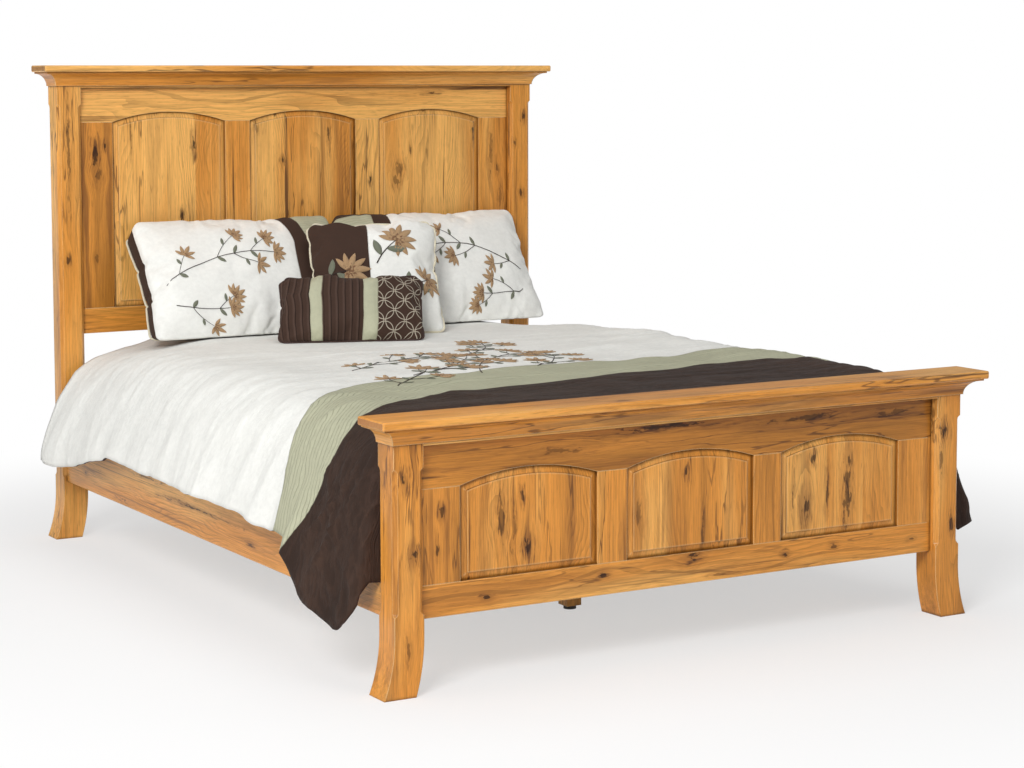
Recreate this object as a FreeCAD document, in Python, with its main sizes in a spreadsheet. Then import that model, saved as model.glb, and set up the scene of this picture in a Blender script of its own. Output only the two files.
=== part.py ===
import FreeCAD, Part
import os
import Sketcher

# A panel bed: a tall headboard and a low footboard of arched raised panels between posts with swept
# feet, joined by hook-on side rails, with slats, foundation, mattress, comforter and cushions.
# Millimetres. X runs across the bed, the foot end is at -Y, +Z is up, and the origin lies on the
# floor under the middle of the bed.

SIZES = (
    ("mattress_width", 1524, "width of the mattress"),
    ("mattress_length", 2032, "length of the mattress"),
    ("mattress_height", 244, "height of the mattress"),
    ("mattress_corner", 70, "radius of the mattress corners seen from above"),
    ("mattress_edge", 45, "roll of the mattress's top and bottom edges"),
    ("foundation_height", 125, "height of the low foundation"),
    ("foundation_inset", 6, "foundation inside the mattress all round"),
    ("side_gap", 29, "mattress to side rail"),
    ("foot_gap", 36, "mattress to foot posts"),
    ("head_gap", 27, "mattress to head posts"),
    ("post_width", 76, "post across the bed"),
    ("post_depth", 76, "post along the bed"),
    ("foot_kick", 27, "outward sweep of the foot's outer edge"),
    ("foot_kick_inner", 21, "outward sweep of the foot's inner edge"),
    ("foot_rise", 140, "height over which the foot sweeps out"),
    ("chamfer_size", 10, "width of the post's stopped chamfer on each face"),
    ("chamfer_runout", 12, "length of the curved stop at each end of the chamfer"),
    ("chamfer_low", 188, "floor to the lower stop"),
    ("chamfer_below_cove", 55, "cove to the upper stop"),
    ("headboard_height", 1437, "floor to the top of the headboard cap"),
    ("footboard_height", 642, "floor to the top of the footboard cap"),
    ("headboard_rail_z", 622, "floor to the headboard's bottom rail"),
    ("footboard_rail_z", 172, "floor to the footboard's bottom rail"),
    ("cap_thickness", 20, "cap board"),
    ("cap_edge", 10, "cap past the cove"),
    ("cap_ease", 3, "eased edges of the cap"),
    ("cove_radius", 37, "hollow of the cove moulding"),
    ("cove_lip", 5, "flat lips of the cove moulding"),
    ("header_reveal", 6, "header showing below the cove"),
    ("frame_thickness", 26, "rails and stiles of the panel frames"),
    ("top_rail_height", 104, "top rail at the springing of its arches"),
    ("bottom_rail_height", 76, "bottom rail"),
    ("arch_rise", 30, "rise of each arch"),
    ("outer_stile", 108, "stile beside a post"),
    ("inner_stile", 84, "stile between two panels"),
    ("groove_depth", 10, "panel groove"),
    ("groove_width", 8, "panel groove, and the tongue that fills it"),
    ("tongue_gap", 1, "room for a tongue at the bottom of its groove"),
    ("panel_gap", 0.5, "raised part of a panel clear of its frame"),
    ("panel_bevel", 18, "bevel round the raised field"),
    ("bevel_height", 5, "climb of the bevel"),
    ("field_step", 3, "square step at the edge of the field"),
    ("tenon_length", 30, "tenon into a post"),
    ("tenon_thickness", 10, "tenon into a post"),
    ("tenon_shoulder", 8, "tenon inside its rail's edges"),
    ("mortise_gap", 0.3, "mortise wider than its tenon on each side"),
    ("mortise_end", 2, "mortise deeper than its tenon"),
    ("rail_thickness", 25, "side rail"),
    ("rail_height", 184, "side rail"),
    ("rail_z", 175, "floor to the side rail"),
    ("rail_setback", 10, "side rail inside the posts' outer faces"),
    ("rail_ease", 3, "eased long edges of the side rail"),
    ("plate_height", 150, "hook and slot plates"),
    ("plate_width", 16, "hook and slot plates"),
    ("plate_thickness", 3, "hook and slot plates"),
    ("plate_gap", 0.2, "plate to the edge of its recess"),
    ("hook_spacing", 80, "between the two hooks of a plate"),
    ("hook_thickness", 4, "hook, across the bed"),
    ("hook_neck", 12, "height of a hook's neck"),
    ("hook_drop", 9, "hook below its neck"),
    ("hook_reach", 4, "hook behind the slot plate"),
    ("hook_gap", 0.5, "hook to slot plate"),
    ("cavity_gap", 2, "room round the hooks inside the post"),
    ("ledger_width", 25, "ledger strip"),
    ("ledger_height", 30, "ledger strip"),
    ("ledger_lift", 4, "ledger above the side rail's lower edge"),
    ("ledger_end_gap", 60, "ledger to the posts"),
    ("slat_thickness", 19, "slat"),
    ("slat_width", 89, "slat"),
    ("slat_count", 6, "number of slats"),
    ("slat_end_gap", 4, "slat to side rail"),
    ("slat_margin", 150, "posts to the middle of the first slat"),
    ("leg_width", 44, "centre leg"),
    ("leveller_diameter", 34, "foot of the leveller"),
    ("leveller_height", 10, "foot of the leveller"),
    ("stem_diameter", 9, "stem of the leveller"),
    ("stem_length", 30, "stem of the leveller inside its leg"),
    ("stem_gap", 0.3, "hole round the leveller's stem"),
    ("screw_diameter", 5, "ledger screw"),
    ("screw_head_diameter", 11, "ledger screw, over the corners of its hexagon"),
    ("screw_head_height", 3, "ledger screw"),
    ("screw_bite", 15, "ledger screw inside the side rail"),
    ("screw_count", 5, "screws in each ledger"),
    ("screw_gap", 0.3, "hole round a screw"),
    ("comforter_thickness", 24, "comforter"),
    ("comforter_gap", 0.3, "comforter to mattress"),
    ("comforter_foot_gap", 2.5, "comforter to the foot posts"),
    ("comforter_head_inset", 4, "comforter short of the mattress's head end"),
    ("shoulder_radius", 100, "roll of the comforter over the mattress edge"),
    ("shoulder_inset", 42, "start of that roll inside the mattress edge"),
    ("shoulder_turn", 60, "degrees of that roll"),
    ("hem_height", 300, "floor to the side hem"),
    ("hem_spread", 133, "side hem outside the mattress edge"),
    ("drape_bulge", 15, "swell of the drape between shoulder and hem"),
    ("fold_depth", 12, "soft folds of the drape, in and out"),
    ("tail_drop", 160, "foot corners hanging below the hem"),
    ("flap_low", 335, "floor to the comforter tucked in at the foot"),
    ("flap_overlap", 8, "tucked flap wider than the mattress on each side"),
    ("cushion_rest", 0.3, "cushions above the comforter"),
    ("cushion_edge", 8, "sewn edge of a cushion"),
    ("sham_width", 672, "pillow sham"),
    ("sham_height", 460, "pillow sham"),
    ("sham_thickness", 212, "pillow sham"),
    ("sham_draw_in", 14, "sides of a sham drawn in between its corners"),
    ("sham_lean", 48, "degrees from level"),
    ("sham_gap", 12, "between the two shams"),
    ("sham_shift", 38, "both shams to the right of the bed's middle"),
    ("sham_rest", 0.4, "sham to headboard"),
    ("square_size", 406, "square cushion"),
    ("square_thickness", 170, "square cushion"),
    ("square_draw_in", 12, "square cushion"),
    ("square_lean", 55, "degrees from level"),
    ("square_turn", -20, "degrees round the vertical"),
    ("square_x", 68, "square cushion, middle"),
    ("square_to_head", 335.5, "square cushion, middle to the head posts"),
    ("oblong_width", 455, "oblong cushion"),
    ("oblong_height", 280, "oblong cushion"),
    ("oblong_thickness", 136, "oblong cushion"),
    ("oblong_draw_in", 9, "oblong cushion"),
    ("oblong_lean", 45, "degrees from level"),
    ("oblong_turn", -20, "degrees round the vertical"),
    ("oblong_x", -80, "oblong cushion, middle"),
    ("oblong_to_head", 492, "oblong cushion, middle to the head posts"),
)

PLACES = [
    ("mattress_half", "Sizes.mattress_width / 2"),
    ("rail_inner", "mattress_half + Sizes.side_gap"),
    ("rail_middle", "rail_inner + Sizes.rail_thickness / 2"),
    ("half_width", "rail_inner + Sizes.rail_thickness + Sizes.rail_setback"),
    ("inner_half", "half_width - Sizes.post_width"),
    ("post_middle", "half_width - Sizes.post_width / 2"),
    ("rail_length", "Sizes.foot_gap + Sizes.mattress_length + Sizes.head_gap"),
    ("cove_reach", "Sizes.cove_radius + Sizes.cove_lip"),
    ("cap_overhang", "cove_reach + Sizes.cap_edge"),
    ("bed_length", "cap_overhang + 2 * Sizes.post_depth + rail_length"),
    ("footboard_y", "cap_overhang - bed_length / 2"),
    ("foot_back_y", "footboard_y + Sizes.post_depth"),
    ("headboard_y", "foot_back_y + rail_length"),
    ("mattress_y", "foot_back_y + Sizes.foot_gap + Sizes.mattress_length / 2"),
    ("frame_setback", "(Sizes.post_depth - Sizes.frame_thickness) / 2"),
    ("panel_width", "(2 * inner_half - 2 * Sizes.outer_stile - 2 * Sizes.inner_stile) / 3"),
    ("panel_pitch", "panel_width + Sizes.inner_stile"),
    ("arch_radius", "(panel_width ^ 2 / 4 + Sizes.arch_rise ^ 2) / (2 * Sizes.arch_rise)"),
    ("foot_radius", "(Sizes.foot_rise ^ 2 + Sizes.foot_kick ^ 2) / (2 * Sizes.foot_kick)"),
    ("foot_mid", "foot_radius - sqrt(foot_radius ^ 2 - Sizes.foot_rise ^ 2 / 4)"),
    ("foot_radius_inner", "(Sizes.foot_rise ^ 2 + Sizes.foot_kick_inner ^ 2) / (2 * Sizes.foot_kick_inner)"),
    ("foot_mid_inner", "foot_radius_inner - sqrt(foot_radius_inner ^ 2 - Sizes.foot_rise ^ 2 / 4)"),
    ("chamfer_depth", "Sizes.chamfer_size / sqrt(2)"),
    ("stop_radius", "(Sizes.chamfer_runout ^ 2 + chamfer_depth ^ 2) / (2 * chamfer_depth)"),
    ("stop_mid", "stop_radius - sqrt(stop_radius ^ 2 - Sizes.chamfer_runout ^ 2 / 4)"),
    ("plate_z", "Sizes.rail_z + Sizes.rail_height / 2"),
    ("cavity_depth", "Sizes.plate_thickness + Sizes.hook_gap + Sizes.hook_reach + Sizes.cavity_gap"),
    ("slot_height", "Sizes.hook_neck + Sizes.hook_drop + Sizes.hook_gap"),
    ("ledger_z", "Sizes.rail_z + Sizes.ledger_lift"),
    ("slat_z", "ledger_z + Sizes.ledger_height"),
    ("foundation_z", "slat_z + Sizes.slat_thickness"),
    ("mattress_z", "foundation_z + Sizes.foundation_height"),
    ("mattress_top", "mattress_z + Sizes.mattress_height"),
    ("comforter_top", "mattress_top + Sizes.comforter_gap + Sizes.comforter_thickness"),
    ("comforter_foot_y", "foot_back_y + Sizes.comforter_foot_gap"),
    ("comforter_length", "Sizes.mattress_length + Sizes.foot_gap - Sizes.comforter_foot_gap"
                         " - Sizes.comforter_head_inset"),
    ("cushion_base", "comforter_top + Sizes.cushion_rest"),
]

ENDS = ("headboard", "footboard")
for end in ENDS:
    PLACES += [
        (f"{end}_cap_z", f"Sizes.{end}_height - Sizes.cap_thickness"),
        (f"{end}_cove_z", f"{end}_cap_z - cove_reach"),
        (f"{end}_header_z", f"{end}_cove_z - Sizes.header_reveal"),
        (f"{end}_spring_z", f"{end}_header_z - Sizes.top_rail_height"),
        (f"{end}_opening_z", f"Sizes.{end}_rail_z + Sizes.bottom_rail_height"),
        (f"{end}_arch_z", f"{end}_spring_z + Sizes.arch_rise - arch_radius"),
    ]

doc = FreeCAD.newDocument("panel_bed")
sizes = doc.addObject("Spreadsheet::Sheet", "Sizes")
for row, (alias, value, note) in enumerate(SIZES, start=1):
    sizes.set(f"A{row}", note)
    sizes.set(f"B{row}", str(value))
    sizes.setAlias(f"B{row}", alias)
doc.recompute()
places = doc.addObject("Spreadsheet::Sheet", "Places")
for row, (alias, formula) in enumerate(PLACES, start=1):
    places.set(f"B{row}", f"={formula}")
    places.setAlias(f"B{row}", alias)
doc.recompute()

sub_parts = []


def number(formula):
    """The value of a formula that reads the sheets."""
    return float(places.evalExpression(str(formula)))


def keep(thing, label):
    """Names a finished sub-part and puts it on the list to write."""
    thing.Label = label
    sub_parts.append(thing)
    return thing


def new_body(label, x="0", y="0", z="0", yaw="0", roll="0"):
    """A body at a place given by formulas, turned by yaw about Z after a roll about X."""
    body = doc.addObject("PartDesign::Body", label)
    body.setExpression("Placement", f"placement(vector({x}; {y}; {z}); rotation({yaw}; 0; {roll}))")
    return body


def point(x, y):
    return FreeCAD.Vector(number(x), number(y), 0)


def pin(sketch, geometry, end, x, y):
    """Holds one point of a sketch at the formulas x and y."""
    for kind, formula in (("DistanceX", x), ("DistanceY", y)):
        index = sketch.addConstraint(Sketcher.Constraint(kind, -1, 1, geometry, end, number(formula)))
        sketch.setExpression(f"Constraints[{index}]", str(formula))


def draw_loop(sketch, loop):
    """Draws one closed loop of corners (x, y). A corner (x, y, through_x, through_y) starts an arc that
    passes through that point on its way to the next corner; the other edges are straight."""
    edges = []
    for corner, following in zip(loop, loop[1:] + loop[:1]):
        start = point(*corner[:2])
        stop = point(*following[:2])
        if len(corner) == 2:
            edges.append((sketch.addGeometry(Part.LineSegment(start, stop)), 1, 2))
            continue
        through = point(*corner[2:])
        if (through - start).cross(stop - through).z > 0:
            edges.append((sketch.addGeometry(Part.Arc(start, through, stop)), 1, 2))
        else:
            edges.append((sketch.addGeometry(Part.Arc(stop, through, start)), 2, 1))
    for corner, (edge, first, last), (following, joint, _) in zip(loop, edges, edges[1:] + edges[:1]):
        sketch.addConstraint(Sketcher.Constraint("Coincident", edge, last, following, joint))
        pin(sketch, edge, first, *corner[:2])
        if len(corner) > 2:
            middle = sketch.addGeometry(Part.Point(point(*corner[2:])), True)
            sketch.addConstraint(Sketcher.Constraint("PointOnObject", middle, 1, edge))
            pin(sketch, middle, 1, *corner[2:])


def draw_circle(sketch, x, y, radius):
    index = sketch.addGeometry(Part.Circle(point(x, y), FreeCAD.Vector(0, 0, 1), number(radius)))
    pin(sketch, index, 3, x, y)
    bound = sketch.addConstraint(Sketcher.Constraint("Radius", index, number(radius)))
    sketch.setExpression(f"Constraints[{bound}]", str(radius))


def new_sketch(body, plane, loops=(), offset="0", circles=()):
    """A sketch on one of the body's own planes, moved along the plane's normal by a formula."""
    sketch = body.newObject("Sketcher::SketchObject", f"{body.Name}_sketch")
    support = next(feature for feature in body.Origin.OriginFeatures if feature.Role == plane)
    sketch.AttachmentSupport = [(support, "")]
    sketch.MapMode = "FlatFace"
    sketch.setExpression("AttachmentOffset.Base.z", str(offset))
    for loop in loops:
        draw_loop(sketch, list(loop))
    for circle in circles:
        draw_circle(sketch, *circle)
    return sketch


def sweep_straight(kind, body, sketch, length, back, both):
    feature = body.newObject(f"PartDesign::{kind}", f"{body.Name}_{kind.lower()}")
    feature.Profile = sketch
    feature.setExpression("Length", str(length))
    feature.Reversed = back
    feature.SideType = "Symmetric" if both else "One side"
    return feature


def pad(body, sketch, length, back=False, both=False):
    return sweep_straight("Pad", body, sketch, length, back, both)


def pocket(body, sketch, length, back=False, both=False):
    return sweep_straight("Pocket", body, sketch, length, back, both)


def loft(body, sections):
    feature = body.newObject("PartDesign::AdditiveLoft", f"{body.Name}_loft")
    feature.Profile = sections[0]
    feature.Sections = sections[1:]
    return feature


def dress_edges(body, base, kind, size_name, size, wanted):
    """Rounds or chamfers those edges of a feature that a test wants."""
    doc.recompute()
    feature = body.newObject(f"PartDesign::{kind}", f"{body.Name}_{kind.lower()}")
    names = [f"Edge{i}" for i, edge in enumerate(base.Shape.Edges, start=1) if wanted(edge)]
    feature.Base = (base, names)
    feature.setExpression(size_name, size)
    return feature


def level(edge):
    """True for an edge that lies in a level plane."""
    return edge.BoundBox.ZLength < edge.BoundBox.DiagonalLength * 1e-6


def any_edge(edge):
    return True


def rectangle(left, right, low, high):
    return [(left, low), (right, low), (right, high), (left, high)]


def eased_rectangle(half_x, low, high, ease):
    """A loop about the upright axis whose corners are cut off."""
    return [(f"-{half_x} + {ease}", low), (f"{half_x} - {ease}", low), (half_x, f"{low} + {ease}"),
            (half_x, f"{high} - {ease}"), (f"{half_x} - {ease}", high), (f"-{half_x} + {ease}", high),
            (f"-{half_x}", f"{high} - {ease}"), (f"-{half_x}", f"{low} + {ease}")]


def rounded_rectangle(half_x, half_y, radius):
    """A loop about the origin whose corners are quarter circles."""
    cut = f"({radius}) * (1 - 1 / sqrt(2))"
    x, y = f"({half_x})", f"({half_y})"
    inner_x, inner_y = f"({half_x} - {radius})", f"({half_y} - {radius})"
    return [
        (f"-{inner_x}", f"-{y}"), (inner_x, f"-{y}", f"{x} - {cut}", f"-{y} + {cut}"),
        (x, f"-{inner_y}"), (x, inner_y, f"{x} - {cut}", f"{y} - {cut}"),
        (inner_x, y), (f"-{inner_x}", y, f"-{x} + {cut}", f"{y} - {cut}"),
        (f"-{x}", inner_y), (f"-{x}", f"-{inner_y}", f"-{x} + {cut}", f"-{y} + {cut}"),
    ]


def mirrored(source, label):
    """The same piece on the other side of the bed."""
    twin = doc.addObject("Part::Mirroring", label)
    twin.Source = source
    twin.Normal = FreeCAD.Vector(1, 0, 0)
    return twin


def board(name, x, y, z):
    """A plain board between pairs of formulas."""
    box = doc.addObject("Part::Box", name)
    for axis, size, (low, high) in (("x", "Length", x), ("y", "Width", y), ("z", "Height", z)):
        box.setExpression(f"Placement.Base.{axis}", low)
        box.setExpression(size, f"({high}) - ({low})")
    return box


def group(label, links):
    whole = doc.addObject("Part::Compound", label)
    whole.Links = links
    return whole


# Posts

def tenon_heights(end):
    """Low and high side of the tenons of the bottom rail, the top rail and the header."""
    groove = "Sizes.groove_depth + Sizes.tenon_shoulder"
    return {
        "bottom_rail": (f"Sizes.{end}_rail_z + Sizes.tenon_shoulder", f"Places.{end}_opening_z - ({groove})"),
        "top_rail": (f"Places.{end}_spring_z + Sizes.arch_rise + {groove}",
                     f"Places.{end}_header_z - Sizes.tenon_shoulder"),
        "header": (f"Places.{end}_header_z + Sizes.tenon_shoulder",
                   f"Places.{end}_cap_z - Sizes.tenon_shoulder"),
    }


def chamfer_corner(body, end, side_x, side_y, angle):
    """One stopped chamfer, cut from a sketch that stands on the corner's diagonal."""
    low, high = "Sizes.chamfer_low", f"(Places.{end}_cove_z - Sizes.chamfer_below_cove)"
    depth, runout = "-Places.chamfer_depth", "Sizes.chamfer_runout"
    stop = "-Places.chamfer_depth + Places.stop_mid"
    outside = "Sizes.chamfer_size"
    sketch = new_sketch(body, "XZ_Plane", [[
        (outside, low), ("0", low, stop, f"{low} + {runout} / 2"),
        (depth, f"{low} + {runout}"), (depth, f"{high} - {runout}", stop, f"{high} - {runout} / 2"),
        ("0", high), (outside, high)]])
    sketch.AttachmentOffset = FreeCAD.Placement(
        FreeCAD.Vector(0, 0, 0), FreeCAD.Rotation(FreeCAD.Vector(0, 1, 0), angle))
    sketch.setExpression("AttachmentOffset.Base.x", f"{side_x} * Sizes.post_width / 2")
    sketch.setExpression("AttachmentOffset.Base.z", f"{-side_y} * Sizes.post_depth / 2")
    pocket(body, sketch, "4 * Sizes.chamfer_size", both=True)


def plate_recess(x):
    """The outline of a recess for a hook or slot plate about the upright line at x."""
    width = "(Sizes.plate_width / 2 + Sizes.plate_gap)"
    height = "(Sizes.plate_height / 2 + Sizes.plate_gap)"
    low, high = f"Places.plate_z - {height}", f"Places.plate_z + {height}"
    return rectangle(f"{x} - {width}", f"{x} + {width}", low, high)


def cut_plate_seat(body, rail_side):
    """The recess for the slot plate and the cavity behind it, in the face that meets the side rail."""
    x = "(Places.post_middle - Places.rail_middle)"
    room = "(Sizes.hook_thickness / 2 + Sizes.cavity_gap)"
    lowest = "Places.plate_z - Sizes.hook_spacing / 2 - Sizes.hook_drop - Sizes.cavity_gap"
    highest = "Places.plate_z + Sizes.hook_spacing / 2 + Places.slot_height + Sizes.cavity_gap"
    face = f"{-rail_side} * Sizes.post_depth / 2"
    seats = (
        (plate_recess(x), "Sizes.plate_thickness"),
        (rectangle(f"{x} - {room}", f"{x} + {room}", lowest, highest), "Places.cavity_depth"),
    )
    for loop, depth in seats:
        pocket(body, new_sketch(body, "XZ_Plane", [loop], face), depth, back=rail_side > 0)


def post(end, rail_side):
    """The left post: swept foot, stopped chamfers, mortises and the seat of its slot plate."""
    half, top, rise = "Sizes.post_width / 2", f"Places.{end}_cap_z", "Sizes.foot_rise"
    body = new_body(f"{end}_post", "-Places.post_middle", f"Places.{end}_y + Sizes.post_depth / 2")
    profile = new_sketch(body, "XZ_Plane", [[
        (f"-{half} - Sizes.foot_kick", "0"),
        (f"{half} - Sizes.foot_kick_inner", "0", f"{half} - Places.foot_mid_inner", f"{rise} / 2"),
        (half, rise), (half, top), (f"-{half}", top),
        (f"-{half}", rise, f"-{half} - Places.foot_mid", f"{rise} / 2")]])
    pad(body, profile, "Sizes.post_depth", both=True)
    for side_x, side_y, angle in ((1, 1, 45), (-1, 1, 135), (-1, -1, -135), (1, -1, -45)):
        chamfer_corner(body, end, side_x, side_y, angle)
    thick = "(Sizes.tenon_thickness / 2 + Sizes.mortise_gap)"
    mortises = [rectangle(f"-{thick}", thick, f"{low} - Sizes.mortise_gap", f"{high} + Sizes.mortise_gap")
                for low, high in tenon_heights(end).values()]
    pocket(body, new_sketch(body, "YZ_Plane", mortises, half), "Sizes.tenon_length + Sizes.mortise_end")
    cut_plate_seat(body, rail_side)
    keep(body, f"{end}_post_left")
    keep(mirrored(body, f"{end}_post_twin"), f"{end}_post_right")


# Panel frames

def add_tenons(body, end, member):
    """A tenon at each end of a member, made as one bar through it."""
    low, high = tenon_heights(end)[member]
    reach = "(Places.inner_half + Sizes.tenon_length)"
    bar = rectangle(f"-{reach}", reach, low, high)
    offset = "-(Sizes.post_depth - Sizes.tenon_thickness) / 2"
    pad(body, new_sketch(body, "XZ_Plane", [bar], offset), "Sizes.tenon_thickness", back=True)


def scallops(end, depth):
    """Corners along the lower edge of a top rail from left to right, set up into the rail by a depth."""
    spring = f"Places.{end}_spring_z + {depth}"
    half = f"sqrt(Sizes.arch_rise * (2 * Places.arch_radius + 2 * {depth} - Sizes.arch_rise))"
    corners = []
    for column in (-1, 0, 1):
        middle = f"{column} * Places.panel_pitch"
        corners.append((f"{middle} - {half}", spring, middle, f"{spring} + Sizes.arch_rise"))
        corners.append((f"{middle} + {half}", spring))
    return corners


def top_rail(end):
    """The arched rail, grooved along its whole lower edge."""
    body = new_body(f"{end}_top_rail_body", y=f"Places.{end}_y")
    spring, top, edge = f"Places.{end}_spring_z", f"Places.{end}_header_z", "Places.inner_half"
    outline = [(f"-{edge}", spring)] + scallops(end, "0") + [(edge, spring), (edge, top), (f"-{edge}", top)]
    blank = new_sketch(body, "XZ_Plane", [outline], "-Places.frame_setback")
    pad(body, blank, "Sizes.frame_thickness", back=True)
    add_tenons(body, end, "top_rail")
    depth = "Sizes.groove_depth"
    below = f"{spring} - {depth}"
    groove = [(f"-{edge}", f"{spring} + {depth}")] + scallops(end, depth) + [
        (edge, f"{spring} + {depth}"), (edge, below), (f"-{edge}", below)]
    sketch = new_sketch(body, "XZ_Plane", [groove], "-Sizes.post_depth / 2")
    pocket(body, sketch, "Sizes.groove_width", both=True)
    keep(body, f"{end}_top_rail")


def bottom_rail(end):
    """A straight rail whose section has the panel groove in its upper edge."""
    body = new_body(f"{end}_bottom_rail_body", y=f"Places.{end}_y")
    middle, groove = "Sizes.post_depth / 2", "Sizes.groove_width / 2"
    front, rear = "Places.frame_setback", "Places.frame_setback + Sizes.frame_thickness"
    low, high = f"Sizes.{end}_rail_z", f"Places.{end}_opening_z"
    floor = f"{high} - Sizes.groove_depth"
    section = [(front, low), (rear, low), (rear, high), (f"{middle} + {groove}", high),
               (f"{middle} + {groove}", floor), (f"{middle} - {groove}", floor),
               (f"{middle} - {groove}", high), (front, high)]
    pad(body, new_sketch(body, "YZ_Plane", [section]), "2 * Places.inner_half", both=True)
    add_tenons(body, end, "bottom_rail")
    keep(body, f"{end}_bottom_rail")


def header(end):
    """The beam behind the cove, flush with the posts front and back."""
    body = new_body(f"{end}_header_body", y=f"Places.{end}_y")
    section = rectangle("0", "Sizes.post_depth", f"Places.{end}_header_z", f"Places.{end}_cap_z")
    pad(body, new_sketch(body, "YZ_Plane", [section]), "2 * Places.inner_half", both=True)
    add_tenons(body, end, "header")
    keep(body, f"{end}_header")


def stile(end, name, middle, width, groove_left, groove_right):
    """An upright whose section is grooved on its panel sides, with a stub tongue at each end."""
    body = new_body(f"{end}_{name}_body", middle, f"Places.{end}_y + Sizes.post_depth / 2")
    half, thick, slot = f"{width} / 2", "Sizes.frame_thickness / 2", "Sizes.groove_width / 2"
    floor = f"({half} - Sizes.groove_depth)"
    low, high = f"Places.{end}_opening_z", f"Places.{end}_spring_z"
    right = [(half, f"-{slot}"), (floor, f"-{slot}"), (floor, slot), (half, slot)] if groove_right else []
    left = [(f"-{half}", slot), (f"-{floor}", slot), (f"-{floor}", f"-{slot}"), (f"-{half}", f"-{slot}")]
    section = [(f"-{half}", f"-{thick}"), (half, f"-{thick}")] + right + [(half, thick), (f"-{half}", thick)]
    section += left if groove_left else []
    pad(body, new_sketch(body, "XY_Plane", [section], low), f"{high} - {low}")
    tongue = "(Sizes.groove_depth - Sizes.tongue_gap)"
    stub = rectangle(f"-{floor}", floor, f"-{slot}", slot)
    pad(body, new_sketch(body, "XY_Plane", [stub], f"{low} - {tongue}"), f"{high} - {low} + 2 * {tongue}")
    keep(body, f"{end}_{name}")


def stiles(end):
    inner = "(Places.panel_width + Sizes.inner_stile) / 2"
    outer = "(Places.inner_half - Sizes.outer_stile / 2)"
    stile(end, "stile_outer_left", f"-{outer}", "Sizes.outer_stile", False, True)
    stile(end, "stile_inner_left", f"-{inner}", "Sizes.inner_stile", True, True)
    stile(end, "stile_inner_right", inner, "Sizes.inner_stile", True, True)
    stile(end, "stile_outer_right", outer, "Sizes.outer_stile", True, False)


def arched_outline(end, grow):
    """The outline of a panel opening, grown outwards by a formula (inwards where it is negative)."""
    half = f"(Places.panel_width / 2 + {grow})"
    low = f"Places.{end}_opening_z - ({grow})"
    crown = f"Places.{end}_arch_z + Places.arch_radius + {grow}"
    shoulder = f"Places.{end}_arch_z + sqrt((Places.arch_radius + {grow}) ^ 2 - {half} ^ 2)"
    return [(f"-{half}", low), (half, low), (half, shoulder, "0", crown), (f"-{half}", shoulder)]


def panel(end, name, column):
    """A raised panel: a tongue that floats in the grooves, a bevel and a stepped field in front."""
    body = new_body(f"{end}_{name}_body", f"{column} * Places.panel_pitch", f"Places.{end}_y")
    tongue_front = "(Sizes.post_depth - Sizes.groove_width) / 2"
    bevel_front = f"({tongue_front} - Sizes.bevel_height)"
    blank = arched_outline(end, "Sizes.groove_depth - Sizes.tongue_gap")
    pad(body, new_sketch(body, "XZ_Plane", [blank], f"-{tongue_front}"), "Sizes.groove_width", back=True)
    foot_of_bevel = arched_outline(end, "(-Sizes.panel_gap)")
    field = arched_outline(end, "(-Sizes.panel_bevel)")
    loft(body, [new_sketch(body, "XZ_Plane", [foot_of_bevel], f"-{tongue_front}"),
                new_sketch(body, "XZ_Plane", [field], f"-{bevel_front}")])
    pad(body, new_sketch(body, "XZ_Plane", [field], f"-{bevel_front}"), "Sizes.field_step")
    keep(body, f"{end}_{name}")


# Cornices

def cove_profile(end, sign):
    """The hollow moulding's section: its flat back stands on 0 and it reaches out towards sign."""
    low, high = f"Places.{end}_cove_z", f"Places.{end}_cap_z"
    lip, reach = "Sizes.cove_lip", "Places.cove_reach"
    bend = "(Places.cove_reach - Sizes.cove_radius / sqrt(2))"
    return [("0", low), (f"{sign} * {lip}", low, f"{sign} * {bend}", f"{low} + Sizes.cove_radius / sqrt(2)"),
            (f"{sign} * {reach}", f"{high} - {lip}"), (f"{sign} * {reach}", high), ("0", high)]


def cove_front(end):
    """The front length, mitred at both ends."""
    body = new_body(f"{end}_cove_front_body", y=f"Places.{end}_y")
    edge, reach = "Places.half_width", "Places.cove_reach"
    pad(body, new_sketch(body, "YZ_Plane", [cove_profile(end, -1)]), f"2 * ({edge} + {reach})", both=True)
    mitres = [[(f"{side} * {edge}", "0"), (f"{side} * ({edge} + {reach})", "0"),
               (f"{side} * ({edge} + {reach})", f"-{reach}")] for side in (1, -1)]
    sketch = new_sketch(body, "XY_Plane", mitres, f"Places.{end}_cap_z")
    pocket(body, sketch, reach)
    keep(body, f"{end}_cove_front")


def cove_returns(end):
    """The two short lengths along the posts' sides, each mitred at the front."""
    reach = "Places.cove_reach"
    body = new_body(f"{end}_cove_return", "-Places.half_width", f"Places.{end}_y")
    sketch = new_sketch(body, "XZ_Plane", [cove_profile(end, -1)], reach)
    pad(body, sketch, f"{reach} + Sizes.post_depth", back=True)
    mitre = [("0", "0"), ("0", f"-{reach}"), (f"-{reach}", f"-{reach}")]
    pocket(body, new_sketch(body, "XY_Plane", [mitre], f"Places.{end}_cap_z"), reach)
    keep(body, f"{end}_cove_left")
    keep(mirrored(body, f"{end}_cove_twin"), f"{end}_cove_right")


def cap(end):
    """The board on top, past the cove in front and at the sides and flush behind."""
    body = new_body(f"{end}_cap_body", y=f"Places.{end}_y")
    edge = "(Places.half_width + Places.cap_overhang)"
    outline = rectangle(f"-{edge}", edge, "-Places.cap_overhang", "Sizes.post_depth")
    blank = pad(body, new_sketch(body, "XY_Plane", [outline], f"Places.{end}_cap_z"), "Sizes.cap_thickness")
    dress_edges(body, blank, "Chamfer", "Size", "Sizes.cap_ease", any_edge)
    keep(body, f"{end}_cap")


# Side rails and their fittings

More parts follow.
